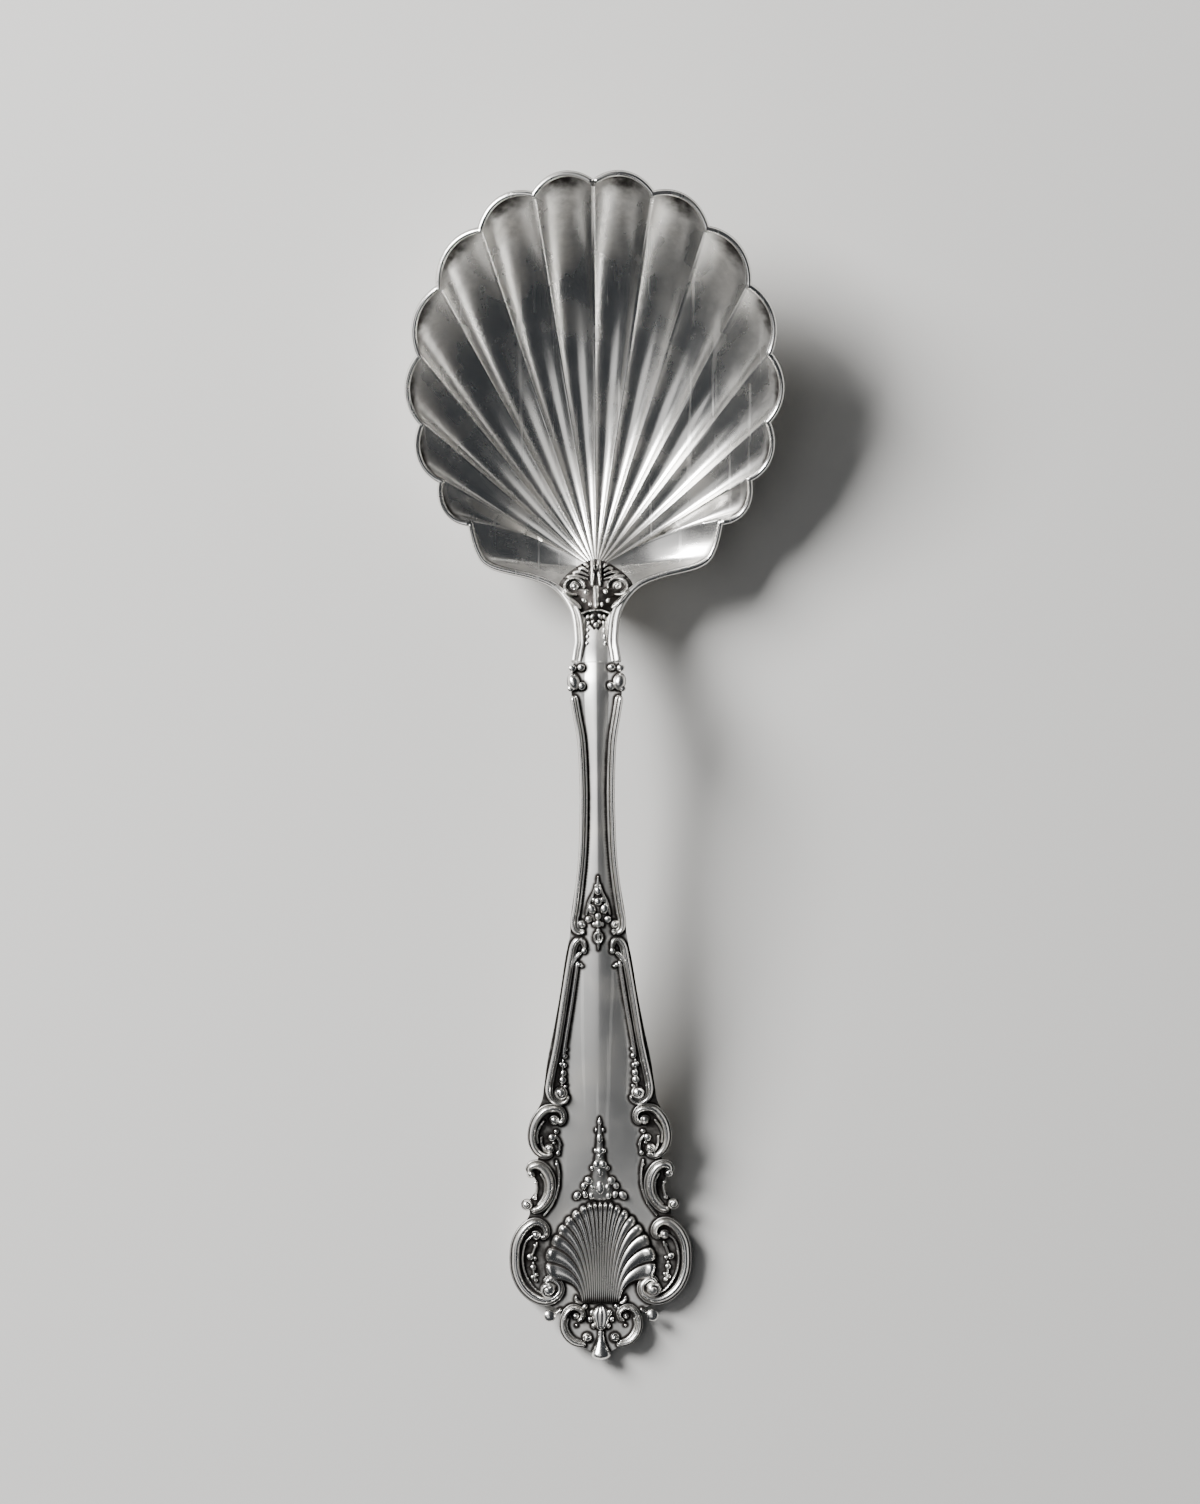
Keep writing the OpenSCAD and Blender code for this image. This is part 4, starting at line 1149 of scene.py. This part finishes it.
@dataclass
class Rails:
    """Rails and threads along the edges of the handle, with the knots over the neck's joint.

    Curls are given round their ball in widths of the rail, with a share of its half width.
    """

    shape: HandleShape
    rail_w: float = 0.85
    rail_h: float = 0.6
    knot_top: Rows = ((3.07, 13.2, 0.52, 0.85, 0), (1.93, 13.3, 0.48, 0.9, 0))
    knot_body: Rows = ((3.2, 12.6, 0.55, 0.75), (2.9, 11.4, 0.85, 0.95), (2.75, 10.4, 0.5, 0.7))
    knot_foot: Rows = ((1.87, 10.95, 0.5, 1, 0), (3.3, 10.6, 0.42, 1, 0))
    stem_in: float = 0.1
    stem_shares: Rows = (
        (0.262, 0.129), (0.225, 0.155), (0.178, 0.19), (0.158, 0.24), (0.158, 0.28), (0.178, 0.34),
        (0.238, 0.4),
    )
    stem_ball: tuple[float, float] = (0.183, 0.4255)
    stem_curl: Rows = ((1.05, 0.64, 1), (0.91, -0.64, 0.95), (0.23, -1.2, 0.8), (-0.45, -0.87, 0.6))
    hook: tuple[float, float] = (0.155, 0.46)
    hook_curl: Rows = ((-0.07, 0.23, 0.5), (0.14, 1.27, 0.75), (0.82, 1.62, 0.95))
    panel_shares: Rows = (
        (0.268, 0.453), (0.3, 0.47), (0.33, 0.49), (0.385, 0.53), (0.455, 0.58), (0.535, 0.625),
    )
    panel_ball: tuple[float, float] = (0.425, 0.6465)
    panel_curl: Rows = (
        (1.77, 0.29, 1), (1.29, -0.98, 0.9), (0.2, -1.51, 0.8), (-0.75, -1.1, 0.7), (-1.0, -0.3, 0.6),
    )
    hook_leaf_px: Rows = ((578.5, 943, 1.6), (573, 948, 2.6), (568.5, 957, 1.2), (566, 968, 0.8))
    thread_shares: Rows = ((0.228, 0.472), (0.3, 0.528), (0.372, 0.578), (0.398, 0.6))
    thread_end: Rows = ((0.398, 0.6), (0.417, 0.64))
    petals_px: Rows = ((576.5, 955.5, 3.0, 0.7, 0), (573.5, 956.5, 2.2, 0.7, 0), (579, 957, 2.0, 0.7, 0))
    string_px: Rows = (
        (562, 1041, 2.2), (561, 1047.5, 2.9), (557.5, 1056, 2.3), (561, 1057, 2.4), (559.5, 1065, 3.4),
        (558.8, 1072, 3.6), (561.5, 1078.5, 2.0),
    )

    def build(self) -> list[Sculpt]:
        """Builds the pieces.

        Returns:
            The pieces' points, for the plate's dirt.
        """
        made = []
        for name, node, maker in (
            ("knot", "neck_knot", self.knot),
            ("stem_rail", "upper_rail", self.stem_rail),
            ("panel_rail", "lower_rail", self.panel_rail),
            ("bead_thread", "inner_thread", self.thread),
        ):
            made += maker().build_pair(name, ORNAMENT_FINISH, node)
        return made

    def spots(self, shares: Rows, half: float, rise: float) -> list[tuple[float, ...]]:
        """Rows of a band through places given as shares of the handle."""
        return [(*self.shape.spot(*share), half, rise) for share in shares]

    def curl(
        self, ball: Sequence[float], rows: Rows, half: float, rise: float
    ) -> list[tuple[float, ...]]:
        """Rows of a band that curls round a ball, from places off the ball and shares of half."""
        w = self.rail_w
        return [(ball[0] + a * w, ball[1] + b * w, half * share, rise) for a, b, share in rows]

    def knot(self) -> Sculpt:
        """Lobed beads over the joint of bowl and handle.

        Returns:
            The piece for the right side.
        """
        relief = Relief(self.shape.face)
        relief.beads(self.knot_top)
        relief.band(self.knot_body, steps=12)
        relief.beads(self.knot_foot)
        return relief.sculpt

    def stem_rail(self) -> Sculpt:
        """Grooved rail along the stem, curled at its lower end.

        Returns:
            The piece for the right side.
        """
        relief = Relief(self.shape.face)
        half, rise = self.rail_w * 0.62, self.rail_h * 1.1
        ball = self.shape.spot(*self.stem_ball)
        stem = [(x - self.stem_in, *rest) for x, *rest in self.spots(self.stem_shares, half, rise)]
        relief.band(stem + self.curl(ball, self.stem_curl, half, rise), RAIL)
        relief.volute(*ball, self.rail_w * 0.66, 120, -1)
        return relief.sculpt

    def panel_rail(self) -> Sculpt:
        """Rail along the lower panel: a hook at the top and a curl round a ball at the end.

        Returns:
            The piece for the right side.
        """
        relief = Relief(self.shape.face)
        hook, ball = self.shape.spot(*self.hook), self.shape.spot(*self.panel_ball)
        half, rise = self.rail_w * 0.58, self.rail_h * 1.4
        path = self.curl(hook, self.hook_curl, half, rise) + self.spots(self.panel_shares, half, rise)
        relief.band(path + self.curl(ball, self.panel_curl, half, rise), SCROLL)
        relief.volute(*ball, self.rail_w * 1.05, -60, -1)
        relief.bead(*hook, self.rail_w * 0.42)
        relief.band(on_side(traced(self.hook_leaf_px), 1, 0.5), LEAF)
        return relief.sculpt

    def thread(self) -> Sculpt:
        """Thin thread beside the lower panel, ending in a string of beads.

        Returns:
            The piece for the right side.
        """
        relief = Relief(self.shape.face)
        relief.band(self.spots(self.thread_shares, 0.27, 0.45))
        relief.beads(traced(self.petals_px))
        for i, (x, y, r) in enumerate(traced(self.string_px)):
            relief.bead(x, y, r, 0.8 + 0.1 * (i % 3), 25 * i)
        relief.band(self.spots(self.thread_end, 0.16, 0.3))
        return relief.sculpt


@dataclass(frozen=True)
class ScrollShape:
    """One C-scroll: its band and balls as shares of its box, and the small work inside it."""

    name: str
    corner_shares: tuple[float, float]
    size: tuple[float, float]
    band_shares: Rows
    ball_shares: Rows
    eye_turns: tuple[float, float]
    outer_side: int = -1
    ridge_px: Rows = ()
    strings_px: Sequence[Rows] = ()
    beads_px: Rows = ()


SCROLLS = (
    ScrollShape(
        "large_scroll", (0.392, 0.928), (7.2, 11.5),
        (
            (0.45, 0.77, 0.04), (0.36, 0.78, 0.05), (0.33, 0.84, 0.059), (0.38, 0.91, 0.064),
            (0.5, 0.95, 0.073), (0.63, 0.93, 0.08), (0.78, 0.84, 0.084), (0.88, 0.71, 0.086),
            (0.91, 0.57, 0.086), (0.9, 0.41, 0.086), (0.83, 0.27, 0.086), (0.71, 0.16, 0.086),
            (0.54, 0.08, 0.086), (0.36, 0.05, 0.08), (0.2, 0.08, 0.077), (0.1, 0.15, 0.073),
            (0.1, 0.23, 0.068), (0.19, 0.29, 0.062), (0.3, 0.3, 0.057), (0.38, 0.25, 0.046),
        ),
        ((0.52, 0.8, 0.09), (0.31, 0.18, 0.15)), (40.0, 200.0),
        ridge_px=(
            (530, 1228.5), (521, 1236), (517.3, 1248), (517.5, 1262), (521.5, 1274), (529, 1284.5),
            (537, 1290),
        ),
        strings_px=(
            ((532, 1237), (529.5, 1243), (527, 1250)),
            ((527.5, 1257), (528, 1268), (530, 1277)),
        ),
        beads_px=(
            (530, 1241, 2.2), (524.5, 1252.3, 3.3), (529.5, 1254, 2.0), (527.5, 1263, 2.9),
            (530.5, 1270.5, 2.2), (527, 1273, 2.2), (530, 1276, 2.4),
        ),
    ),
    ScrollShape(
        "small_scroll", (0.359, 0.7345), (5.1, 7.3),
        (
            (0.24, 0.64, 0.061), (0.12, 0.68, 0.068), (0.09, 0.79, 0.078), (0.18, 0.89, 0.091),
            (0.37, 0.92, 0.104), (0.57, 0.89, 0.106), (0.75, 0.76, 0.104), (0.86, 0.6, 0.101),
            (0.9, 0.4, 0.099), (0.85, 0.23, 0.091), (0.71, 0.1, 0.084), (0.53, 0.06, 0.073),
            (0.37, 0.11, 0.061),
        ),
        ((0.32, 0.71, 0.13), (0.46, 0.2, 0.125)), (40.0, 220.0),
        ridge_px=((540.5, 1112.5), (535, 1120), (532.5, 1128), (533.5, 1137)),
        strings_px=(
            ((537, 1129), (537, 1137), (541, 1146)),
            ((550, 1128), (555, 1135), (554.5, 1145)),
        ),
        beads_px=(
            (552, 1124.3, 2.4), (547.5, 1130.5, 3.6), (553.5, 1146.5, 2.5), (555.5, 1138, 1.6),
            (549.5, 1136, 1.6),
        ),
    ),
    ScrollShape(
        "turned_scroll", (0.485, 0.8075), (4.6, 7.2),
        (
            (0.76, 0.75, 0.072), (0.74, 0.86, 0.106), (0.58, 0.91, 0.128), (0.38, 0.87, 0.136),
            (0.22, 0.74, 0.139), (0.15, 0.58, 0.139), (0.17, 0.39, 0.131), (0.3, 0.22, 0.119),
            (0.5, 0.1, 0.106), (0.72, 0.08, 0.089),
        ),
        ((0.7, 0.74, 0.125), (0.83, 0.18, 0.165)), (200.0, 60.0), 1,
        ridge_px=((535.5, 1167), (540, 1176), (539, 1189), (532, 1200)),
        strings_px=(
            ((531, 1175), (532, 1182), (529.5, 1193)),
            ((551.5, 1153), (553.3, 1160), (554.2, 1170), (553, 1183), (547.5, 1198), (538, 1211)),
        ),
        beads_px=((531, 1176.5, 2.0), (529.5, 1192, 2.3), (552.3, 1158, 2.1)),
    ),
    ScrollShape(
        "end_scroll", (0.094, 0.9835), (4.3, 5.7),
        (
            (0.46, 0.61, 0.056), (0.33, 0.66, 0.065), (0.29, 0.78, 0.076), (0.39, 0.88, 0.085),
            (0.58, 0.92, 0.094), (0.76, 0.84, 0.1), (0.88, 0.67, 0.1), (0.9, 0.48, 0.1),
            (0.82, 0.3, 0.097), (0.64, 0.15, 0.094), (0.41, 0.08, 0.088), (0.2, 0.09, 0.079),
        ),
        ((0.5, 0.72, 0.1), (0.16, 0.23, 0.145)), (40.0, 140.0),
        ridge_px=((562.5, 1314), (561, 1322), (564, 1330), (570, 1336), (577, 1338)),
        beads_px=((571, 1322, 1.4),),
    ),
)


@dataclass
class Scrolls:
    """The C-scrolls along the handle's wide end."""

    shape: HandleShape
    scroll_h: float = 0.95
    low_share: float = 0.55
    swell_share: float = 4.5
    fuller: float = 1.08

    def build(self) -> list[Sculpt]:
        """Builds the scrolls on both sides.

        Returns:
            The pieces' points, for the plate's patina and painted shade.
        """
        made = []
        for scroll in SCROLLS:
            made += self.one(scroll).build_pair("c_" + scroll.name, ORNAMENT_FINISH, scroll.name)
        return made

    def one(self, scroll: ScrollShape) -> Sculpt:
        """One scroll with its eyes, inner ridge and strings of beads.

        Args:
            scroll: its shape.

        Returns:
            The piece for the right side.
        """
        relief = Relief(self.shape.face)
        x0, y0 = self.shape.spot(*scroll.corner_shares)
        w, h = scroll.size
        path = []
        for across, along, share in scroll.band_shares:
            rise = self.scroll_h * (self.low_share + self.swell_share * share)
            path.append((x0 + across * w, y0 + along * h, share * w * self.fuller, rise))
        relief.band(path, SCROLL, scroll.outer_side)
        for (across, along, share), turn in zip(scroll.ball_shares, scroll.eye_turns):
            relief.volute(x0 + across * w, y0 + along * h, share * w, turn, scroll.outer_side)
        if scroll.ridge_px:
            relief.band(on_side(traced(scroll.ridge_px), 1, 0.16, 0.5))
        for string in scroll.strings_px:
            relief.band(on_side(traced(string), 1, 0.17, 0.4))
        for i, (x, y, r) in enumerate(traced(scroll.beads_px)):
            relief.bead(x, y, r, 0.85 + 0.15 * (i % 2), 40 * i)
        return relief.sculpt


@dataclass
class MiddleOrnament:
    """Ornament down the middle of the handle: drop, spray, shell, collar and finial.

    Rows of beads have x, y and radius as traced on the photograph, then stretch and turn.
    """

    shape: HandleShape
    drop_beads_px: Rows = (
        (595.5, 881.6, 3.5, 1.15, 0), (595.5, 892.3, 3.5, 1.1, 0), (595.5, 907, 3.0, 1.1, 0),
        (595.5, 914.5, 3.0, 1.2, 0),
    )
    drop_side_beads_px: Rows = (
        (589.2, 899.5, 3.9, 1.25, -20), (586.0, 910.0, 3.2, 1.0, 0), (591.2, 890.5, 1.6, 1.4, 30),
        (591.5, 915.0, 1.7, 1.3, 10),
    )
    drop_leaf_px: Rows = ((593.5, 875, 0.8), (591, 884, 1.2), (586.5, 894, 1.6), (583.5, 906, 1.0))
    oval_y: float = 43.6
    oval_half: tuple[float, float] = (0.5, 0.68)
    drop_tail: Rows = ((0, -19.9, 0.28, 0.4), (0, -21.6, 0.2, 0.3), (0, -22.7, 0.08, 0.2))
    drop_tip: Rows = ((0, -13.2, 0.06, 0.15), (0, -14.2, 0.22, 0.3), (0, -15, 0.3, 0.3))
    spray_beads_px: Rows = (
        (595.5, 1115, 2.0, 1.6, 0), (595.5, 1131.5, 2.9, 1.7, 0), (595.5, 1144.5, 3.6, 1.0, 0),
        (595.5, 1149.5, 2.6, 1.0, 0), (595.5, 1182, 4.2, 1.6, 0), (595.5, 1166, 3.0, 1.5, 0),
    )
    spray_side_beads_px: Rows = (
        (592, 1123, 1.2, 1.6, 12), (591.5, 1144, 2.0, 1.2, 0), (592.3, 1158, 3.6, 1.1, 20),
        (588, 1162, 2.4, 1.0, 0), (584, 1174.5, 4.0, 1.0, 0), (579.5, 1180, 3.0, 1.2, 25),
        (588, 1181.5, 2.4, 1.4, -20), (572.5, 1190, 3.4, 1.35, 40), (580.5, 1189, 2.6, 1.4, -15),
        (587, 1190.5, 2.8, 1.3, -10),
    )
    spray_stem_px: Rows = (
        (595.5, 1110, 1.0), (595.5, 1128, 2.6), (595.5, 1150, 5.0), (595.5, 1170, 9.0), (595.5, 1196, 19),
    )
    shell_l: float = 12.7
    shell_half: float = 7.1
    shell_h: float = 1.1
    ribs: int = 19
    rib_cols: int = 10
    shell_rows: int = 60
    base_share: float = 0.924
    base_half_share: float = 0.34
    lobe_reach: float = 0.035
    shell_edge: Rows = (
        (0, 0, 1), (0.25, 0.24, 0.985), (0.5, 0.56, 0.86), (0.72, 0.82, 0.66), (0.88, 0.985, 0.43),
        (1, 0.93, 0.22),
    )
    rib_share: float = 0.4
    rib_sweep: float = 1.15
    rib_flare: float = 0.12
    lip_share: float = 0.22
    lip_at: float = 0.93
    lip_half: float = 0.05
    collar_leaf: Rows = (
        (0, -68.9, 0.6, 0.75), (0, -70.2, 1.2, 0.95), (0, -71.6, 0.75, 0.9), (0, -72.2, 0.4, 0.7),
    )
    collar_beads_px: Rows = (
        (586.5, 1309, 2.4, 1.3, 25), (584.5, 1316, 2.4, 1.2, -10), (590.5, 1315.5, 2.3, 1.4, 8),
        (588, 1322.5, 2.2, 1.3, -15), (592.3, 1323.5, 1.8, 1.3, 0), (579.5, 1303, 2.4, 1.3, 50),
    )
    pear_top_y: float = -72.25
    pear_l: float = 3.72
    pear_profile: Rows = (
        (0, 0.36), (0.2, 0.42), (0.4, 0.62), (0.6, 0.95), (0.75, 1.2), (0.86, 1.22), (0.95, 0.85),
        (1.0, 0.2),
    )
    ball_px: tuple[float, float] = (543.6, 1311.9)
    ball_r: float = 0.82
    ball_stem_px: Rows = ((556, 1305), (553, 1307.5), (549, 1310))
    ball_leaf_px: Rows = ((577, 1300, 1.2), (571.5, 1297, 2.4), (570.5, 1292, 1.0))

    def build(self) -> list[Sculpt]:
        """Builds the pieces.

        Returns:
            The pieces' points, for the plate's dirt.
        """
        made = []
        for name, node, maker in (
            ("bellflower_drop", "bead_drop", self.drop),
            ("bud_spray", "leaf_spray", self.spray),
            ("ribbed_shell", "end_shell", self.shell),
            ("leaf_collar", "end_collar", self.collar),
            ("pear_drop", "end_drop", self.pear),
        ):
            piece = maker()
            piece.build(name, ORNAMENT_FINISH, node)
            made.append(piece)
        return made + self.side_ball().build_pair("stem_ball", ORNAMENT_FINISH, "side_bead")

    def drop(self) -> Sculpt:
        """Bellflower drop.

        Returns:
            The piece.
        """
        relief = Relief(self.shape.face)
        relief.beads(traced(self.drop_beads_px))
        for side in (1, -1):
            relief.beads(traced(self.drop_side_beads_px), side)
            relief.band(on_side(traced(self.drop_leaf_px), side, 0.28))
        middle_y = self.shape.place(0) - self.oval_y
        half, long = self.oval_half
        turns = np.radians(np.linspace(90, 450, 13))
        oval = [(half * math.cos(turn), middle_y + long * math.sin(turn)) for turn in turns]
        relief.band(on_side(oval, 1, 0.15, 0.4), taper=False)
        relief.band(self.drop_tail)
        relief.band(self.drop_tip)
        return relief.sculpt

    def spray(self) -> Sculpt:
        """Pointed spray of buds above the shell.

        Returns:
            The piece.
        """
        relief = Relief(self.shape.face)
        relief.beads(traced(self.spray_beads_px))
        for side in (1, -1):
            relief.beads(traced(self.spray_side_beads_px), side)
        relief.band(on_side(traced(self.spray_stem_px), 1, 0.3), LOW_ROUND)
        return relief.sculpt

    def shell(self) -> Sculpt:
        """Shell with curved ribs that fan out from its base.

        Returns:
            The piece.
        """
        cols = self.ribs * self.rib_cols
        c = np.arange(cols + 1)
        t = np.linspace(0, 1, self.shell_rows + 1)[:, None]
        q = 2 * c / cols - 1
        s = np.abs(q)
        lobe = np.abs(np.sin(np.pi * c / self.rib_cols))
        reach = 1 + self.lobe_reach * lobe**0.7
        end_x = self.shell_half * smooth(self.shell_edge, s) * reach
        end_y = self.shell_l * smooth(self.shell_edge, s, 2) * reach
        base_x = self.shell_half * self.base_half_share * s
        bend_x = base_x * self.rib_sweep
        bend_y = mix(end_y, end_y + self.shell_l * self.rib_flare, s * s) * 0.75
        x = base_x * (1 - t) ** 2 + bend_x * 2 * t * (1 - t) + end_x * t * t
        y = self.shape.place(self.base_share) + bend_y * 2 * t * (1 - t) + end_y * t * t
        x = np.sign(q) * x
        arch = 0.25 + 0.75 * np.sin(np.pi * np.clip(0.12 + 0.7 * t, 0, 1))
        dome = self.shell_h * arch * (1 - 0.35 * q * q)
        ridge = lobe**0.8
        relief = self.shell_h * self.rib_share * (ridge - 0.6) * (0.25 + 0.75 * t)
        lip = self.shell_h * self.lip_share * np.exp(-(((t - self.lip_at) / self.lip_half) ** 2)) * ridge
        roll = np.sqrt(np.clip(1 - (np.clip(t - 0.95, 0, 1) / self.lip_half) ** 2, 0, 1))
        base = self.shape.face(x, y)
        z = base + 0.03 + (dome + relief + lip) * mix(0.12, 1.0, roll)
        top = np.stack([x, y, z], axis=-1)
        low = np.stack([x, y, base - 0.05], axis=-1)[[-1, 0]]
        points = np.concatenate([low[1:], top, low[:1]])
        # Patina and painted shade in the grooves between ribs, at the base and at the rolled edge.
        patina_and_shade = np.clip(1.2 - 1.7 * ridge, 0, 1) + 0.7 * (1 - ramp(t, 0.0, 0.12)) + 0.9 * (1 - roll)
        ends = np.ones((1, cols + 1))
        sculpt = Sculpt()
        sculpt.grid(points, np.concatenate([ends, np.clip(patina_and_shade, 0, 1), ends]), closed=False)
        return sculpt

    def collar(self) -> Sculpt:
        """Small leaves between the end scrolls.

        Returns:
            The piece.
        """
        relief = Relief(self.shape.face)
        relief.band(self.collar_leaf, LEAF)
        for side in (1, -1):
            relief.beads(traced(self.collar_beads_px), side, high=1.9)
        return relief.sculpt

    def pear(self) -> Sculpt:
        """Pear-shaped drop at the handle's end.

        Returns:
            The piece.
        """
        t = np.linspace(0, 1, 40)[:, None]
        r = smooth(self.pear_profile, t)
        phi = np.linspace(0, 2 * math.pi, 41)[:-1][None]
        y = self.pear_top_y - self.pear_l * t + 0 * phi
        base = self.shape.face(0 * y, np.maximum(y, -75.0))
        x = r * np.cos(phi)
        z = base + 0.15 + np.maximum(r * np.sin(phi), -0.25) * 0.9
        # Patina and painted shade on the drop's lower half and where it meets the collar.
        patina_and_shade = np.clip(0.9 * ramp(-np.sin(phi), -0.3, 0.3) + 0.5 * (1 - ramp(t, 0, 0.15)), 0, 1)
        sculpt = Sculpt()
        sculpt.grid(np.stack([x, y, z], axis=-1), patina_and_shade)
        return sculpt

    def side_ball(self) -> Sculpt:
        """Ball on a short stem beside the end scroll.

        Returns:
            The piece for the right side.
        """
        relief = Relief(self.shape.face)
        relief.bead(*traced([self.ball_px])[0], self.ball_r, high=1.25)
        relief.band(on_side(traced(self.ball_stem_px), 1, 0.25, 0.6))
        relief.band(on_side(traced(self.ball_leaf_px), 1, 0.55))
        return relief.sculpt


@dataclass
class Plate:
    """The handle's plate, darkened with patina and painted shade beside its ornament."""

    shape: HandleShape
    rows: int = 740
    across: int = 120
    edge_rows: Rows = ((1, 0.2), (0.985, 0.5), (0.93, 0.72), (0.85, 0.86), (0.6, 0.985), (0.3, 1), (0, 1))
    back_patina_and_shade: float = 0.08
    streak_pull: tuple[float, float, float] = (1.0, 0.12, 1.0)
    patina_and_shade_reach: float = 0.5
    near_patina_and_shade: float = 0.95
    ground_patina_and_shade: float = 0.8
    ground_reach: float = 1.2

    def build(self, ornament: Sequence[Sculpt]) -> None:
        """Builds the plate.

        Args:
            ornament: the pieces that sit on it.
        """
        shape = self.shape
        share = np.linspace(shape.outline_shares[0][0], shape.outline_shares[-1][0], self.rows)
        y = (shape.shoulder_y - share * shape.length)[:, None]
        w = shape.width(y)
        s = np.sin(np.linspace(-math.pi / 2, math.pi / 2, self.across + 1))[None]
        s = mix(s, np.linspace(-1, 1, self.across + 1)[None], 0.6)
        x = w * s
        side_w, side_t = np.array(self.edge_rows).T
        side_w = np.concatenate([side_w, -side_w[-2::-1]])[None]
        side_t = np.concatenate([side_t, side_t[-2::-1]])[None]
        low_x = w * side_w
        low_z = shape.top(y) - shape.thickness(y) * side_t
        top = np.stack([x, y + 0 * x, shape.face(x, y)], axis=-1)
        low = np.stack([low_x, y + 0 * low_x, low_z], axis=-1)
        points = np.concatenate([top, low], axis=1)
        back = np.full(low.shape[:2], self.back_patina_and_shade)
        patina_and_shade = np.concatenate([self.ornament_patina_and_shade(top, ornament), back], axis=1)
        sculpt = Sculpt()
        sculpt.grid(points, patina_and_shade, points * self.streak_pull)
        sculpt.build("scroll_plate", PLATE_FINISH, "handle_plate")

    def ornament_patina_and_shade(self, top: np.ndarray, ornament: Sequence[Sculpt]) -> np.ndarray:
        """Patina and painted shade on the face by distance from the ornament.

        Args:
            top: the face's points.
            ornament: the pieces that sit on it.

        Returns:
            Patina and painted shade at each point.
        """
        places = np.vstack([piece.outline_points()[:, :2] for piece in ornament])
        tree = KDTree(len(places))
        for i, place in enumerate(places):
            tree.insert((place[0], place[1], 0), i)
        tree.balance()
        away = np.array([tree.find((x, y, 0))[2] for x, y in top[..., :2].reshape(-1, 2)])
        away = away.reshape(top.shape[:2])
        # Painted shade and patina close beside the ornament.
        near = np.exp(-((away / self.patina_and_shade_reach) ** 2))
        share = self.shape.along(top[..., 1])
        panel_half = self.shape.half_w * smooth(self.shape.panel_shares, share)
        beside = ramp(np.abs(top[..., 0]) / panel_half, 1.02, 1.3)
        fading = 0.6 + 0.4 * np.exp(-((away / self.ground_reach) ** 2))
        # Painted shade and patina on the ground inside the scrolls, beside the lower panel.
        ground = self.ground_patina_and_shade * beside * ramp(share, 0.43, 0.46) * fading
        return np.maximum(self.near_patina_and_shade * near, ground)


@dataclass(frozen=True)
class Studio:
    """Pale floor, soft light and a camera straight above the spoon.

    The lights' and the camera's places are in metres, and what the camera frames is in millimetres.
    """

    floor_half: float = 1.5
    floor_drop: float = 0.02
    floor_colour: Colour = (0.62, 0.61, 0.59)
    sky_colour: Colour = (0.8, 0.88, 1.0)
    sky_strength: float = 0.04
    lights: Sequence[tuple[str, Sequence[float], Sequence[float], float]] = (
        ("key_light", (-0.66, 0.46, 0.52), (0.42, 0.42), 30.0),
        ("soft_light", (-0.42, -0.08, 0.95), (0.62, 1.1), 1.7),
    )
    camera_h: float = 0.7
    frame_mid: tuple[float, float] = (0.384, 2.55)
    frame_long: float = 192.5
    plane_h: float = 8.0
    sensor: float = 36.0
    roll: float = -0.4

    def build(self) -> None:
        """Builds floor, lights and camera."""
        self.floor()
        for light in self.lights:
            self.light(*light)
        world = bpy.data.worlds.new("studio")
        bpy.context.scene.world = world
        world.use_nodes = True
        sky = world.node_tree.nodes["Background"]
        sky.inputs["Color"].default_value = (*self.sky_colour, 1.0)
        sky.inputs["Strength"].default_value = self.sky_strength
        self.camera()

    def floor(self) -> None:
        """Plain pale floor."""
        mesh = bpy.data.meshes.new("floor")
        work = bmesh.new()
        bmesh.ops.create_grid(work, x_segments=2, y_segments=2, size=self.floor_half)
        work.to_mesh(mesh)
        work.free()
        obj = bpy.data.objects.new("floor", mesh)
        bpy.context.scene.collection.objects.link(obj)
        mat = bpy.data.materials.new("pale_floor")
        mat.use_nodes = True
        shader = mat.node_tree.nodes["Principled BSDF"]
        shader.inputs["Base Color"].default_value = (*self.floor_colour, 1.0)
        shader.inputs["Roughness"].default_value = 0.85
        mesh.materials.append(mat)
        obj.location.z = -self.floor_drop * MM
        obj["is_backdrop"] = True

    def light(self, name: str, place: Sequence[float], size: Sequence[float], power: float) -> None:
        """Rectangular soft light that faces the spoon.

        Args:
            name: its name.
            place: where it is, in metres.
            size: its width and length, in metres.
            power: its power in watts.
        """
        data = bpy.data.lights.new(name, "AREA")
        data.shape = "RECTANGLE"
        data.size, data.size_y = size
        data.energy = power
        obj = bpy.data.objects.new(name, data)
        obj.location = place
        obj.rotation_euler = (-Vector(place)).to_track_quat("-Z", "X").to_euler()
        bpy.context.scene.collection.objects.link(obj)
        obj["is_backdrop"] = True

    def camera(self) -> None:
        """Camera at the photograph's place."""
        data = bpy.data.cameras.new("photo_camera")
        data.sensor_fit = "AUTO"
        data.sensor_width = self.sensor
        data.lens = data.sensor_width * (self.camera_h / MM - self.plane_h) / self.frame_long
        obj = bpy.data.objects.new("photo_camera", data)
        obj.location = (self.frame_mid[0] * MM, self.frame_mid[1] * MM, self.camera_h)
        obj.rotation_euler = (0.0, 0.0, math.radians(self.roll))
        bpy.context.scene.collection.objects.link(obj)
        bpy.context.scene.camera = obj


def plain(value: object) -> object:
    """Bounds as plain lists.


    Returns:
        Numbers in lists.
    """
    if isinstance(value, dict):
        return {str(key): plain(item) for key, item in value.items()}
    if hasattr(value, "__len__"):
        return [plain(item) for item in value]
    return float(value)


def main() -> None:
    """Builds the spoon's looks piece by piece."""
    logging.basicConfig(level=logging.INFO, format="%(message)s")
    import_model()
    sizes = {"cad": plain(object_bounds())}
    handle = HandleShape()
    Bowl(BowlShape(handle)).build()
    ornament = Rails(handle).build()
    ornament += Scrolls(handle).build()
    ornament += MiddleOrnament(handle).build()
    Plate(handle).build(ornament)
    Studio().build()
    sizes["visual"] = plain(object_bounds())


if __name__ == "__main__":
    main()
